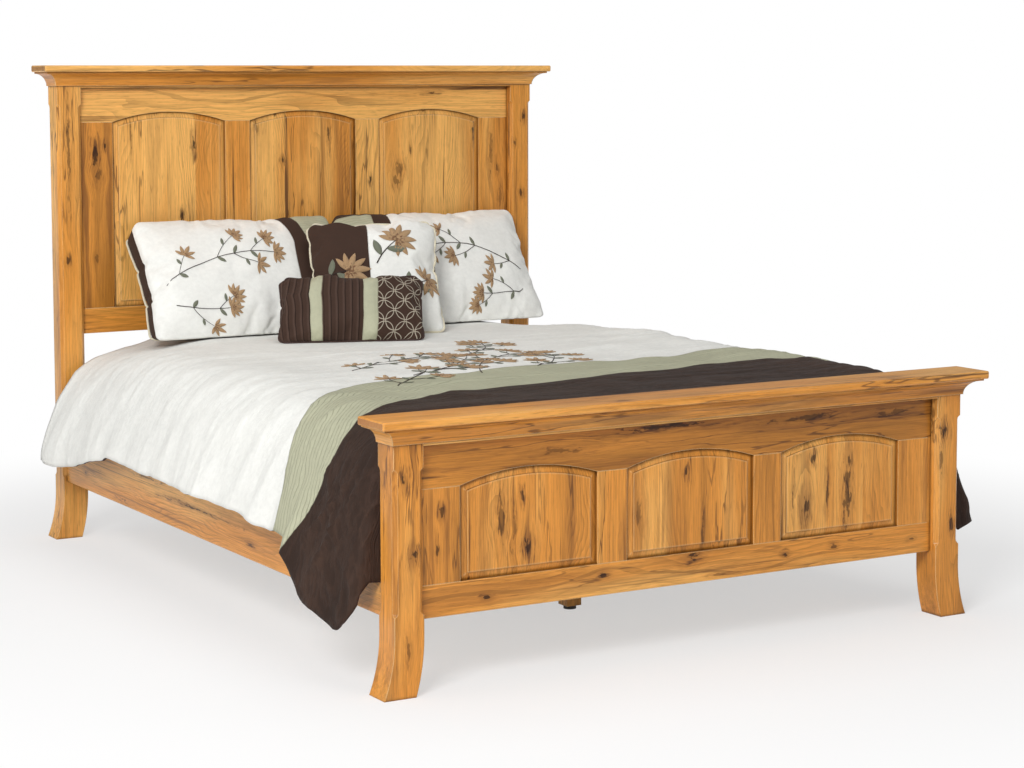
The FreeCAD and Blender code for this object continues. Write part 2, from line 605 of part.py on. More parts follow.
def screw_places():
    """Where the ledger screws stand along a side rail, measured from the foot posts."""
    count = int(number("Sizes.screw_count"))
    ledger = "(Places.rail_length - 2 * Sizes.ledger_end_gap)"
    return [f"(Sizes.ledger_end_gap + {ledger} * {2 * i + 1} / {2 * count})" for i in range(count)]


def screw_holes(body, face, depth):
    hole = "Sizes.screw_diameter / 2 + Sizes.screw_gap"
    circles = [(along, "Places.slat_z - Sizes.ledger_height / 2", hole) for along in screw_places()]
    pocket(body, new_sketch(body, "YZ_Plane", offset=face, circles=circles), depth)


def side_rail():
    """The left rail, with a plate recess in each end and the ledger's screw holes."""
    body = new_body("side_rail", "-Places.rail_middle", "Places.foot_back_y")
    half = "Sizes.rail_thickness / 2"
    section = eased_rectangle(half, "Sizes.rail_z", "(Sizes.rail_z + Sizes.rail_height)", "Sizes.rail_ease")
    pad(body, new_sketch(body, "XZ_Plane", [section]), "Places.rail_length", back=True)
    recess = plate_recess("0")
    pocket(body, new_sketch(body, "XZ_Plane", [recess]), "Sizes.plate_thickness")
    far_end = new_sketch(body, "XZ_Plane", [recess], "-Places.rail_length")
    pocket(body, far_end, "Sizes.plate_thickness", back=True)
    screw_holes(body, half, "Sizes.screw_bite + Sizes.mortise_end")
    keep(body, "side_rail_left")
    keep(mirrored(body, "side_rail_twin"), "side_rail_right")


def ledger():
    """The strip along the inside of the left rail that carries the slats."""
    body = new_body("ledger", "-Places.rail_inner", "Places.foot_back_y")
    strip = rectangle("Sizes.ledger_end_gap", "Places.rail_length - Sizes.ledger_end_gap",
                      "Places.ledger_z", "Places.slat_z")
    pad(body, new_sketch(body, "YZ_Plane", [strip]), "Sizes.ledger_width")
    screw_holes(body, "Sizes.ledger_width", "Sizes.ledger_width")
    keep(body, "ledger_left")
    keep(mirrored(body, "ledger_twin"), "ledger_right")


def ledger_screws():
    """Hexagon-head screws through the ledgers into the side rails."""
    solids = []
    z = "Places.slat_z - Sizes.ledger_height / 2"
    lengths = (("Cylinder", "Radius", "Sizes.screw_diameter / 2", "-Sizes.screw_bite",
                "Sizes.screw_bite + Sizes.ledger_width"),
               ("Prism", "Circumradius", "Sizes.screw_head_diameter / 2", "Sizes.ledger_width",
                "Sizes.screw_head_height"))
    for along in screw_places():
        for kind, size_name, radius, start, length in lengths:
            solid = doc.addObject(f"Part::{kind}", f"screw_{kind.lower()}")
            solid.setExpression(size_name, radius)
            solid.setExpression("Height", length)
            solid.setExpression("Placement", f"placement(vector(-Places.rail_inner + {start};"
                                f" Places.foot_back_y + {along}; {z}); rotation(0; 90; 0))")
            solids.append(solid)
    left = doc.addObject("Part::MultiFuse", "screws_left")
    left.Shapes = solids
    keep(group("ledger_screw_group", [left, mirrored(left, "screws_right")]), "ledger_screws")


def hook_heights():
    """Undersides of the two hook necks, measured from the middle of the plate."""
    return ("(-Sizes.hook_spacing / 2)", "(Sizes.hook_spacing / 2)")


def plate_outline():
    half, tall = "Sizes.plate_width / 2", "Sizes.plate_height / 2"
    return rectangle(f"-{half}", half, f"-{tall}", tall)


def hook_plate(end, yaw):
    """A plate in the end of the left rail; its hooks point along the body's +Y."""
    y = f"Places.{'headboard_y' if end == 'headboard' else 'foot_back_y'}"
    body = new_body(f"{end}_hook_plate", "-Places.rail_middle", y, "Places.plate_z", yaw=yaw)
    pad(body, new_sketch(body, "XZ_Plane", [plate_outline()]), "Sizes.plate_thickness")
    near = "Sizes.plate_thickness + Sizes.hook_gap"
    far = f"{near} + Sizes.hook_reach"
    rooted = "-Sizes.plate_thickness / 2"
    hooks = [[(rooted, z), (near, z), (near, f"{z} - Sizes.hook_drop"), (far, f"{z} - Sizes.hook_drop"),
              (far, f"{z} + Sizes.hook_neck"), (rooted, f"{z} + Sizes.hook_neck")] for z in hook_heights()]
    pad(body, new_sketch(body, "YZ_Plane", hooks), "Sizes.hook_thickness", both=True)
    return body


def slot_plate(end, yaw):
    """The plate in the post that the hooks drop into."""
    y = f"Places.{'headboard_y' if end == 'headboard' else 'foot_back_y'}"
    body = new_body(f"{end}_slot_plate", "-Places.rail_middle", y, "Places.plate_z", yaw=yaw)
    half = "(Sizes.hook_thickness / 2 + Sizes.hook_gap)"
    slots = [rectangle(f"-{half}", half, z, f"{z} + Places.slot_height") for z in hook_heights()]
    pad(body, new_sketch(body, "XZ_Plane", [plate_outline()] + slots), "Sizes.plate_thickness", back=True)
    return body


def rail_fittings():
    for make, label in ((hook_plate, "rail_hook_plates"), (slot_plate, "post_slot_plates")):
        left = [make("headboard", "0"), make("footboard", "180")]
        right = [mirrored(plate, f"{plate.Name}_right") for plate in left]
        keep(group(f"{label}_group", left + right), label)


# Slats, centre legs, foundation and mattress

def slat_middles():
    count = int(number("Sizes.slat_count"))
    span = "(Places.rail_length - 2 * Sizes.slat_margin)"
    return [f"(Places.foot_back_y + Sizes.slat_margin + {span} * {i} / {count - 1})" for i in range(count)]


def slats():
    reach = "(Places.rail_inner - Sizes.slat_end_gap)"
    for i, middle in enumerate(slat_middles(), start=1):
        slat = board(f"slat_board_{i}", (f"-{reach}", reach),
                     (f"{middle} - Sizes.slat_width / 2", f"{middle} + Sizes.slat_width / 2"),
                     ("Places.slat_z", "Places.foundation_z"))
        keep(slat, f"slat_{i}")


def leveller(name, y):
    """A turned foot on a stem."""
    body = new_body(name, y=y)
    foot, stem = "Sizes.leveller_diameter / 2", "Sizes.stem_diameter / 2"
    top = "Sizes.leveller_height + Sizes.stem_length"
    half_profile = [("0", "0"), (foot, "0"), (foot, "Sizes.leveller_height"),
                    (stem, "Sizes.leveller_height"), (stem, top), ("0", top)]
    turned = body.newObject("PartDesign::Revolution", f"{name}_turned")
    turned.Profile = new_sketch(body, "XZ_Plane", [half_profile])
    turned.ReferenceAxis = (turned.Profile[0], ["V_Axis"])
    turned.Angle = 360
    return body


def centre_legs():
    """Square legs under the second slat from each end, each with a levelling foot."""
    middles = slat_middles()
    half = "Sizes.leg_width / 2"
    levellers = []
    for name, y in (("foot", middles[1]), ("head", middles[-2])):
        body = new_body(f"{name}_leg_body", y=y)
        square = rectangle(f"-{half}", half, f"-{half}", half)
        pad(body, new_sketch(body, "XY_Plane", [square], "Sizes.leveller_height"),
            "Places.slat_z - Sizes.leveller_height")
        bore = new_sketch(body, "XY_Plane", offset="Sizes.leveller_height",
                          circles=[("0", "0", "Sizes.stem_diameter / 2 + Sizes.stem_gap")])
        pocket(body, bore, "Sizes.stem_length + Sizes.mortise_end", back=True)
        keep(body, f"centre_leg_{name}")
        levellers.append(leveller(f"{name}_leveller", y))
    keep(group("leveller_group", levellers), "levelling_feet")


def soft_block(name, inset, low, height):
    """A block with round corners, as large as the mattress less an inset all round."""
    body = new_body(f"{name}_body", y="Places.mattress_y")
    half_x, half_y = f"(Places.mattress_half - {inset})", f"(Sizes.mattress_length / 2 - {inset})"
    outline = rounded_rectangle(half_x, half_y, "Sizes.mattress_corner")
    return keep(body, name), pad(body, new_sketch(body, "XY_Plane", [outline], low), height)


def foundation_and_mattress():
    """A plain low foundation, and the mattress on it with rolled upper and lower edges."""
    soft_block("foundation", "Sizes.foundation_inset", "Places.foundation_z", "Sizes.foundation_height")
    body, block = soft_block("mattress", "0", "Places.mattress_z", "Sizes.mattress_height")
    dress_edges(body, block, "Fillet", "Radius", "Sizes.mattress_edge", level)


# Comforter: stations at even steps from the foot end, each with how far its soft fold stands out (1) or
# in (-1), and how far its hem hangs into the foot corner's tail (0 to 1)

COMFORTER_STATIONS = (
    (-1, 0.4), (1, 1), (0.6, 0.5), (-0.3, 0.12), (0.6, 0), (-0.8, 0), (0.3, 0), (0.9, 0), (-0.4, 0),
    (-1, 0), (0.2, 0), (1, 0), (-0.2, 0), (-0.9, 0), (0.4, 0), (1, 0.06), (0.3, 0.2),
)


def drape_half(skin, fold, tail):
    """Hem, shoulder and top corners of one half of a section, and the points that its two arcs pass
    through, on the surface that lies a skin inside the outer one."""
    radius = f"(Sizes.shoulder_radius - {skin})"
    start_x = "(Places.mattress_half - Sizes.shoulder_inset)"
    top = f"(Places.comforter_top - {skin})"
    turn = "Sizes.shoulder_turn"
    turned_x, turned_z = f"({start_x} + {radius} * sin({turn}))", f"({top} - {radius} * (1 - cos({turn})))"
    part_x = f"({start_x} + {radius} * sin({turn} / 2))"
    part_z = f"({top} - {radius} * (1 - cos({turn} / 2)))"
    hem_x = f"(Places.mattress_half + Sizes.hem_spread + {fold} * Sizes.fold_depth - {skin})"
    hem_z = f"(Sizes.hem_height - {tail} * Sizes.tail_drop)"
    swell = (f"(({turned_x} + {hem_x}) / 2 + Sizes.drape_bulge)", f"(({turned_z} + {hem_z}) / 2)")
    return (hem_x, hem_z), swell, (turned_x, turned_z), (part_x, part_z), (start_x, top)


def comforter_section(body, run, fold, tail):
    """One inverted U across the bed: the outer skin from left to right, then the inner skin back."""
    def left(place):
        return f"-{place[0]}", place[1]

    hem, swell, turned, part, start = drape_half("0", fold, tail)
    loop = [left(hem) + left(swell), left(turned) + left(part), left(start),
            start + part, turned + swell, hem]
    hem, swell, turned, part, start = drape_half("Sizes.comforter_thickness", fold, tail)
    loop += [hem + swell, turned + part, start,
             left(start) + left(part), left(turned) + left(swell), left(hem)]
    return new_sketch(body, "XZ_Plane", [loop], f"-({run})")


def comforter():
    """One quilt: over the top, down both sides in soft folds with hanging foot corners, and tucked in at
    the foot."""
    body = new_body("comforter_body", y="Places.comforter_foot_y")
    steps = len(COMFORTER_STATIONS) - 1
    loft(body, [comforter_section(body, f"{i} * Places.comforter_length / {steps}", fold, tail)
                for i, (fold, tail) in enumerate(COMFORTER_STATIONS)])
    half = "(Places.mattress_half + Sizes.flap_overlap)"
    top = "Places.comforter_top - Sizes.comforter_thickness / 2"
    flap = new_sketch(body, "XZ_Plane", [rectangle(f"-{half}", half, "Sizes.flap_low", top)])
    pad(body, flap, "Sizes.comforter_thickness", back=True)
    keep(body, "comforter")


# Cushions

CUSHION_STATIONS = (-1, -0.86, -0.5, 0, 0.5, 0.86, 1)
CROWN_POWER = 0.6


def cushion(label, width, height, thickness, draw_in, place):
    """A crowned cushion lying in the body's XY plane: lens sections lofted along X, with all four sides
    drawn in."""
    body = new_body(f"{label}_body", *place)
    sections = []
    for share in CUSHION_STATIONS:
        fullness = round((1 - share * share) ** CROWN_POWER, 4)
        half = f"({height} / 2 - {draw_in} * {round(1 - share * share, 4)})"
        crown = f"((Sizes.cushion_edge + ({thickness} - Sizes.cushion_edge) * {fullness}) / 2)"
        lens = [(f"-{half}", "0", "0", f"-{crown}"), (half, "0", "0", crown)]
        sections.append(new_sketch(body, "YZ_Plane", [lens], f"{share} * {width} / 2"))
    loft(body, sections)
    corner = f"{height} / 2"
    sides = []
    for side in (1, -1):
        edge = f"{side} * {width} / 2"
        outside = f"{side} * ({width} / 2 + {draw_in})"
        sides.append([(edge, f"-{corner}", f"{side} * ({width} / 2 - {draw_in})", "0"), (edge, corner),
                      (outside, corner), (outside, f"-{corner}")])
    pocket(body, new_sketch(body, "XY_Plane", sides), f"2 * {thickness}", both=True)
    keep(body, label)


def cushion_height(height, lean):
    """Height of the middle of a cushion that stands on its lower edge."""
    return f"Places.cushion_base + {height} / 2 * sin({lean})"


def shams():
    lean, height = "Sizes.sham_lean", "Sizes.sham_height"
    y = (f"Places.headboard_y + Places.frame_setback - Sizes.sham_rest"
         f" - {height} / 2 * cos({lean})")
    x = "(Sizes.sham_width + Sizes.sham_gap) / 2"
    for side, sign in (("left", "-"), ("right", "+")):
        place = (f"Sizes.sham_shift {sign} {x}", y, cushion_height(height, lean), "0", lean)
        cushion(f"sham_{side}", "Sizes.sham_width", height, "Sizes.sham_thickness", "Sizes.sham_draw_in",
                place)


def loose_cushions():
    for name, width, height in (("square", "Sizes.square_size", "Sizes.square_size"),
                                ("oblong", "Sizes.oblong_width", "Sizes.oblong_height")):
        lean = f"Sizes.{name}_lean"
        place = (f"Sizes.{name}_x", f"Places.headboard_y - Sizes.{name}_to_head",
                 cushion_height(height, lean), f"Sizes.{name}_turn", lean)
        cushion(f"{name}_cushion", width, height, f"Sizes.{name}_thickness", f"Sizes.{name}_draw_in", place)


# Build

def end_board(end, rail_side):
    post(end, rail_side)
    header(end)
    top_rail(end)
    bottom_rail(end)
    stiles(end)
    for column, name in ((-1, "panel_left"), (0, "panel_centre"), (1, "panel_right")):
        panel(end, name, column)
    cove_front(end)
    cove_returns(end)
    cap(end)


def check():
    """Stops before anything is written if a feature failed, a cut missed or a shape is not sound."""
    for thing in doc.Objects:
        if "Invalid" in thing.State or "Error" in thing.State:
            raise RuntimeError(f"{thing.Label} failed: {thing.State}")
        if thing.isDerivedFrom("PartDesign::Pocket"):
            if thing.Shape.Volume >= thing.BaseFeature.Shape.Volume - 1:
                raise RuntimeError(f"{thing.Label} cuts nothing")
    for thing in sub_parts:
        if thing.Shape.isNull() or not thing.Shape.isValid() or not thing.Shape.Solids:
            raise RuntimeError(f"{thing.Label} is not a sound solid")


end_board("headboard", rail_side=-1)
end_board("footboard", rail_side=1)
side_rail()
ledger()
ledger_screws()
rail_fittings()
slats()
centre_legs()
foundation_and_mattress()
comforter()
shams()
loose_cushions()
doc.recompute()
check()
os.makedirs("parts", exist_ok=True)
for sub_part in sub_parts:
    sub_part.Shape.exportStep(f"parts/{sub_part.Label}.step")
print(f"{len(sub_parts)} sub-parts written")
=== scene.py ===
"""A rustic hickory panel bed, made up with a comforter, two shams and two cushions."""

import math

import bpy
import numpy as np
from mathutils import Matrix, Vector
from mathutils.bvhtree import BVHTree


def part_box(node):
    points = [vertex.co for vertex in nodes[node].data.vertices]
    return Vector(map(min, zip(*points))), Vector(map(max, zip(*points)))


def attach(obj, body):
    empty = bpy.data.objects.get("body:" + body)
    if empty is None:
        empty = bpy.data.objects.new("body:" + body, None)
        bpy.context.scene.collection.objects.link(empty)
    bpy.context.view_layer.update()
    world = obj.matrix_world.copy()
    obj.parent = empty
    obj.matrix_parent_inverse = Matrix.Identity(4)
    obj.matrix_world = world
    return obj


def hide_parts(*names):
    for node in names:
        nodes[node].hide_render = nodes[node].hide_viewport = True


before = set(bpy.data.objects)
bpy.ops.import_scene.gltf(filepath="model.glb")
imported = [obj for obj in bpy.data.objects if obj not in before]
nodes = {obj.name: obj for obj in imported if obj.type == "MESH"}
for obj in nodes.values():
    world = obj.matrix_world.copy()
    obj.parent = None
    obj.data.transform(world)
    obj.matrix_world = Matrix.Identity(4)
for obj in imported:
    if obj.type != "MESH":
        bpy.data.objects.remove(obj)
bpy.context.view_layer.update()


# ---------------------------------------------------------------- shader helpers

class Strand:
    """A value on its way between shader nodes, which adds and multiplies like a number."""

    def __init__(self, tree, socket):
        self.tree, self.socket = tree, socket

    def __add__(self, other):
        return calc("ADD", self, other)

    def __sub__(self, other):
        return calc("SUBTRACT", self, other)

    def __rsub__(self, other):
        return calc("SUBTRACT", other, self)

    def __mul__(self, other):
        return calc("MULTIPLY", self, other)

    def __truediv__(self, other):
        return calc("DIVIDE", self, other)

    def __pow__(self, other):
        return calc("POWER", self, other)

    def __abs__(self):
        return calc("ABSOLUTE", self)

    def __gt__(self, other):
        return calc("GREATER_THAN", self, other)

    def __lt__(self, other):
        return calc("LESS_THAN", self, other)

    __radd__, __rmul__ = __add__, __mul__


def home(*values):
    """The node tree that the strands among some values run in."""
    return next(value.tree for value in values if isinstance(value, Strand))


def feed(node, fed):
    """Sets a shader node's inputs, by name or number, to plain values or strands."""
    for key, value in dict(fed).items():
        if isinstance(value, Strand):
            value.tree.links.new(value.socket, node.inputs[key])
        else:
            node.inputs[key].default_value = value


def add_node(tree, kind, fed=(), **settings):
    """Adds a shader node, set and fed."""
    made = tree.nodes.new(kind)
    for name, value in settings.items():
        setattr(made, name, value)
    feed(made, fed)
    return made


def wire(tree, kind, fed=(), out=0, **settings):
    """Adds a shader node and gives one of its outputs."""
    return Strand(tree, add_node(tree, kind, fed, **settings).outputs[out])


def calc(operation, *values):
    """A Math node's result."""
    return wire(home(*values), "ShaderNodeMath", enumerate(values), operation=operation)


def span(value, low, high, to_low=0.0, to_high=1.0):
    """A value's range brought smoothly to another range."""
    fed = {"Value": value, "From Min": low, "From Max": high, "To Min": to_low, "To Max": to_high}
    return wire(value.tree, "ShaderNodeMapRange", fed, interpolation_type="SMOOTHSTEP")


def ridge(value, width, flat=0.0):
    """1 where a value is about nought, falling to 0 at a width to both sides."""
    return span(abs(value), flat, width, 1.0, 0.0)


def between(value, low, high):
    """1 where a value lies between two others, 0 elsewhere."""
    return (value > low) * (value < high)


def tint(red, green, blue):
    """A colour as a swatch gives it, from 0 to 255, made linear for the shaders."""
    return tuple(((v / 255 + 0.055) / 1.055) ** 2.4 if v > 10 else v / 3294 for v in (red, green, blue)) + (1.0,)


def darker(colour, share):
    """A plain colour at a share of its strength."""
    return tuple(share * part for part in colour[:3]) + (1.0,)


def over(share, under, top, mode="MIX"):
    """One colour laid over another."""
    return wire(home(share, under, top), "ShaderNodeMix", {0: share, 6: under, 7: top}, 2,
                data_type="RGBA", blend_type=mode)


def shade(colour, by):
    """A colour scaled by a number."""
    return wire(home(colour, by), "ShaderNodeVectorMath", {0: colour, "Scale": by}, operation="SCALE")


def shift(operation, place, by):
    """A vector sum or product."""
    return wire(place.tree, "ShaderNodeVectorMath", {0: place, 1: by}, operation=operation)


def cloud(place, stretch, detail=2.0, roughness=0.5):
    """Cloudy noise from 0 to 1, on coordinates that one number or three stretch."""
    stretch = stretch if isinstance(stretch, tuple) else (stretch,) * 3
    fed = {"Vector": shift("MULTIPLY", place, stretch), "Scale": 1.0, "Detail": detail, "Roughness": roughness}
    return wire(place.tree, "ShaderNodeTexNoise", fed)


def parts(vector):
    """The three parts of a vector."""
    return [Strand(vector.tree, socket)
            for socket in add_node(vector.tree, "ShaderNodeSeparateXYZ", {0: vector}).outputs]


def joined(*values):
    """A vector put together from its parts."""
    return wire(home(*values), "ShaderNodeCombineXYZ", enumerate(values))


def here(tree, kind="Object"):
    """The place on a piece, or its normal, in the piece's own coordinates."""
    return wire(tree, "ShaderNodeTexCoord", out=kind)


def read(tree, name):
    """A number that a mesh carries at its points."""
    return wire(tree, "ShaderNodeAttribute", out="Fac", attribute_name=name, attribute_type="GEOMETRY")


def relief(height, strength, distance, normal=None):
    """A normal that follows a height."""
    fed = {"Height": height, "Strength": strength, "Distance": distance}
    if normal is not None:
        fed["Normal"] = normal
    return wire(height.tree, "ShaderNodeBump", fed)


def new_group(name, inputs, outputs):
    """An empty shader group, its inputs by name and its output node."""
    tree = bpy.data.node_groups.new(name, "ShaderNodeTree")
    for way, sockets in (("INPUT", inputs), ("OUTPUT", outputs)):
        for label, kind in sockets.items():
            tree.interface.new_socket(name=label, in_out=way, socket_type="NodeSocket" + kind)
    given = {socket.name: Strand(tree, socket) for socket in tree.nodes.new("NodeGroupInput").outputs}
    return tree, given, tree.nodes.new("NodeGroupOutput")


def use_group(tree, group, fed):
    """The outputs of a shader group."""
    return [Strand(tree, socket) for socket in add_node(tree, "ShaderNodeGroup", fed, node_tree=group).outputs]


def new_material(name):
    """An empty material with its shader, ready to be fed."""
    material = bpy.data.materials.new(name)
    material.use_nodes = True
    return material, material.node_tree, material.node_tree.nodes["Principled BSDF"]


def coat(node, material):
    """Gives a CAD node its one finish."""
    nodes[node].data.materials.clear()
    nodes[node].data.materials.append(material)


# ---------------------------------------------------------------- hickory

CREAM, HONEY, AMBER = tint(248, 187, 102), tint(225, 150, 62), tint(178, 117, 44)
UMBER, BARK, CHAR = tint(118, 70, 29), tint(72, 37, 17), tint(34, 18, 11)
# the tint of the painted highlight along eased edges
HIGHLIGHT_PALE = tint(255, 226, 172)
RING_WIDTH = 0.0062                 # from one growth ring to the next
LACQUER = 0.22                      # the weight of the clear coat
PANEL_EDGE, BOARD_EDGE = 0.006, 0.004   # the radius to which edges are eased
BOARD_STEP = 3.7                    # how far a glued-up strip's figure lies from its neighbour's


def grain_group():
    """Hickory figure: growth rings, sapwood and heartwood, fibres, pores and mineral streaks."""
    tree, given, out = new_group("hickory", {"Place": "Vector", "Seed": "Float", "Tone": "Float"},
                                 {"Color": "Color", "Height": "Float", "Gloss": "Float"})
    tone = given["Tone"]
    place = shift("ADD", given["Place"], shade((11.3, 7.7, 3.9), given["Seed"]))
    _, across, deep = parts(given["Place"])
    across = across + (cloud(place, (1.5, 5.0, 5.0)) - 0.5) * 0.24
    across = across + (cloud(place, (5.0, 26.0, 26.0)) - 0.5) * 0.022
    radius = calc("SQRT", across ** 2.0 + (deep * 0.35 + 0.085) ** 2.0)
    ring = calc("FRACT", radius / RING_WIDTH) ** 2.2
    heart = cloud(place, (0.9, 6.5, 6.5), 3.0) + (tone - 0.5) * 0.55
    fibre = cloud(place, (7.0, 260.0, 110.0), 3.0, 0.65)
    pores = span(cloud(place, (26.0, 640.0, 640.0), 1.0), 0.62, 0.70)
    streak = span(cloud(place, (0.7, 34.0, 30.0), 4.0, 0.62), 0.62, 0.67)
    streak = streak * span(cloud(place, (0.8, 3.5, 3.5), 1.0), 0.50, 0.60)
    flame = span(cloud(place, (1.3, 21.0, 14.0), 5.0, 0.64), 0.49, 0.66) * (tone * 0.55 + 0.10)
    hair = span(cloud(place, (1.5, 90.0, 50.0), 3.0, 0.6), 0.58, 0.68)
    hair = hair * span(cloud(place, (1.1, 6.0, 6.0), 1.0), 0.50, 0.64)
    strong = span(cloud(place, (1.3, 9.0, 9.0), 1.0), 0.35, 0.70, -0.05, -0.34)
    vein = ridge(cloud(place, (2.2, 27.0, 20.0), 3.0, 0.55) - 0.5, 0.020, 0.004)
    vein = vein * span(tone * 0.16 + cloud(place, (1.1, 5.5, 5.5), 1.0), 0.63, 0.73)
    colour = over(span(heart, 0.32, 0.58), CREAM, HONEY)
    colour = over(span(heart, 0.56, 0.84), colour, AMBER)
    colour = over(flame, colour, UMBER)
    colour = over(hair * 0.62, colour, UMBER)
    colour = shade(colour, ring * strong + 1.0)
    colour = over(vein * 0.66, colour, BARK)
    colour = over(pores * 0.38, colour, UMBER)
    colour = shade(colour, span(fibre, 0.30, 0.70, 0.83, 1.10))
    colour = over(streak * 0.85, colour, BARK)
    height = fibre * 0.5 + ring * -0.18 - pores * 0.4
    gloss = span(fibre, 0.3, 0.7, 0.46, 0.34)
    feed(out, enumerate((colour, height, gloss)))
    return tree


def knot_group():
    """One knot or slit: the grain parts around it, and it darkens towards its heart."""
    numbers = ("Along", "Across", "Size", "Stretch", "Dark", "Core", "Halo")
    tree, given, out = new_group("knot", {"Place": "Vector"} | {label: "Float" for label in numbers},
                                 {"Place": "Vector", "Core": "Float", "Halo": "Float"})
    place, size, dark = given["Place"], given["Size"], given["Dark"]
    x, y, z = parts(place)
    rough = cloud(place, (36.0, 120.0, 120.0), 3.0, 0.6) - 0.5
    lump = cloud(place, (17.0, 44.0, 44.0), 1.0) - 0.5
    along = (x - given["Along"]) / (size * given["Stretch"])
    gap = y - given["Across"]
    across = gap / size + lump * 2.6
    square = along ** 2.0 + across ** 2.0
    reach = calc("SQRT", square) + rough * 4.2
    pull = calc("EXPONENT", square * -0.16) * 0.8
    core = calc("MAXIMUM", given["Core"], span(reach, 1.00, 0.62) * dark)
    halo = calc("MAXIMUM", given["Halo"], span(reach, 3.6, 0.6) * dark)
    feed(out, enumerate((joined(x, y - gap * pull, z), core, halo)))
    return tree


HICKORY, KNOT = grain_group(), knot_group()
LIES = {"x": (0, 2, 1), "y": (1, 2, 0), "z": (2, 0, 1), "cap": (0, 1, 2)}


def hickory(node, lie, seed, tone=0.5, boards=(), knots=()):
    """Lacquered hickory on one CAD node. lie is the way its grain runs; boards are (edge, tone) of the
    glued-up strips; knots are (along, across, size, stretch) in metres in the bed's frame, and how dark."""
    material, tree, shader = new_material("hickory_" + node)
    centre = [(a + b) / 2 for a, b in zip(*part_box(node))]
    order = LIES[lie]
    local = parts(shift("SUBTRACT", here(tree), centre))
    place = joined(*(local[axis] for axis in order))
    core, halo = 0.0, 0.0
    for along, across, size, stretch, *dark in knots:
        fed = {"Place": place, "Along": along - centre[order[0]], "Across": across - centre[order[1]],
               "Size": size, "Stretch": stretch, "Dark": dark[0] if dark else 0.9, "Core": core, "Halo": halo}
        place, core, halo = use_group(tree, KNOT, fed)
    number, board_tone = seed, tone
    for edge, next_tone in boards:
        step = local[order[1]] > edge - centre[order[1]]
        number = step * BOARD_STEP + number
        board_tone = step * (next_tone - tone) + board_tone
        tone = next_tone
    fed = {"Place": place, "Seed": number, "Tone": board_tone}
    colour, height, gloss = use_group(tree, HICKORY, fed)
    sawn = span(abs(parts(here(tree, "Normal"))[order[0]]), 0.80, 0.97)
    colour = over(sawn * 0.62, colour, UMBER)
    # How open each point is to nearby surfaces: below it paints shade into corners and recesses, and keeps the
    # painted edge highlight off them.
    unshaded = wire(tree, "ShaderNodeAmbientOcclusion", {"Distance": 0.012}, "AO", samples=8)
    lacquer = LACQUER
    if knots:
        split = ridge(cloud(place, (5.0, 120.0, 120.0)) - 0.5, 0.05) * span(halo, 0.15, 0.75)
        colour = over(halo * 0.44, colour, UMBER)
        colour = over(split * 0.75, colour, BARK)
        colour = over(core * 0.92, colour, CHAR)
        height = height - core * 0.7
        lacquer = core * -LACQUER + LACQUER
    fielded = "_panel_" in node
    eased = wire(tree, "ShaderNodeBevel", {"Radius": PANEL_EDGE if fielded else BOARD_EDGE}, samples=6)
    true_face = wire(tree, "ShaderNodeNewGeometry", out="True Normal")
    alike = wire(tree, "ShaderNodeVectorMath", {0: eased, 1: true_face}, "Value", operation="DOT_PRODUCT")
    # A painted highlight: a pale tint laid along the convex eased edges, where light would catch them.
    edge_highlight = span(alike, 0.9995, 0.9945, 0.0, 0.38) if fielded else span(alike, 0.985, 0.80)
    edge_highlight = edge_highlight * span(unshaded, 0.86, 0.97)
    # Painted shade: darker in corners, recesses and where other parts come near.
    colour = shade(colour, span(unshaded, 0.42, 0.92, 0.46, 1.0))
    colour = over(edge_highlight * 0.62, colour, HIGHLIGHT_PALE)
    feed(shader, {"Base Color": colour, "Roughness": gloss, "Specular IOR Level": 0.24, "Coat Weight": lacquer,
                  "Coat Roughness": 0.20, "Normal": relief(height, 0.45, 0.0007, eased)})
    coat(node, material)


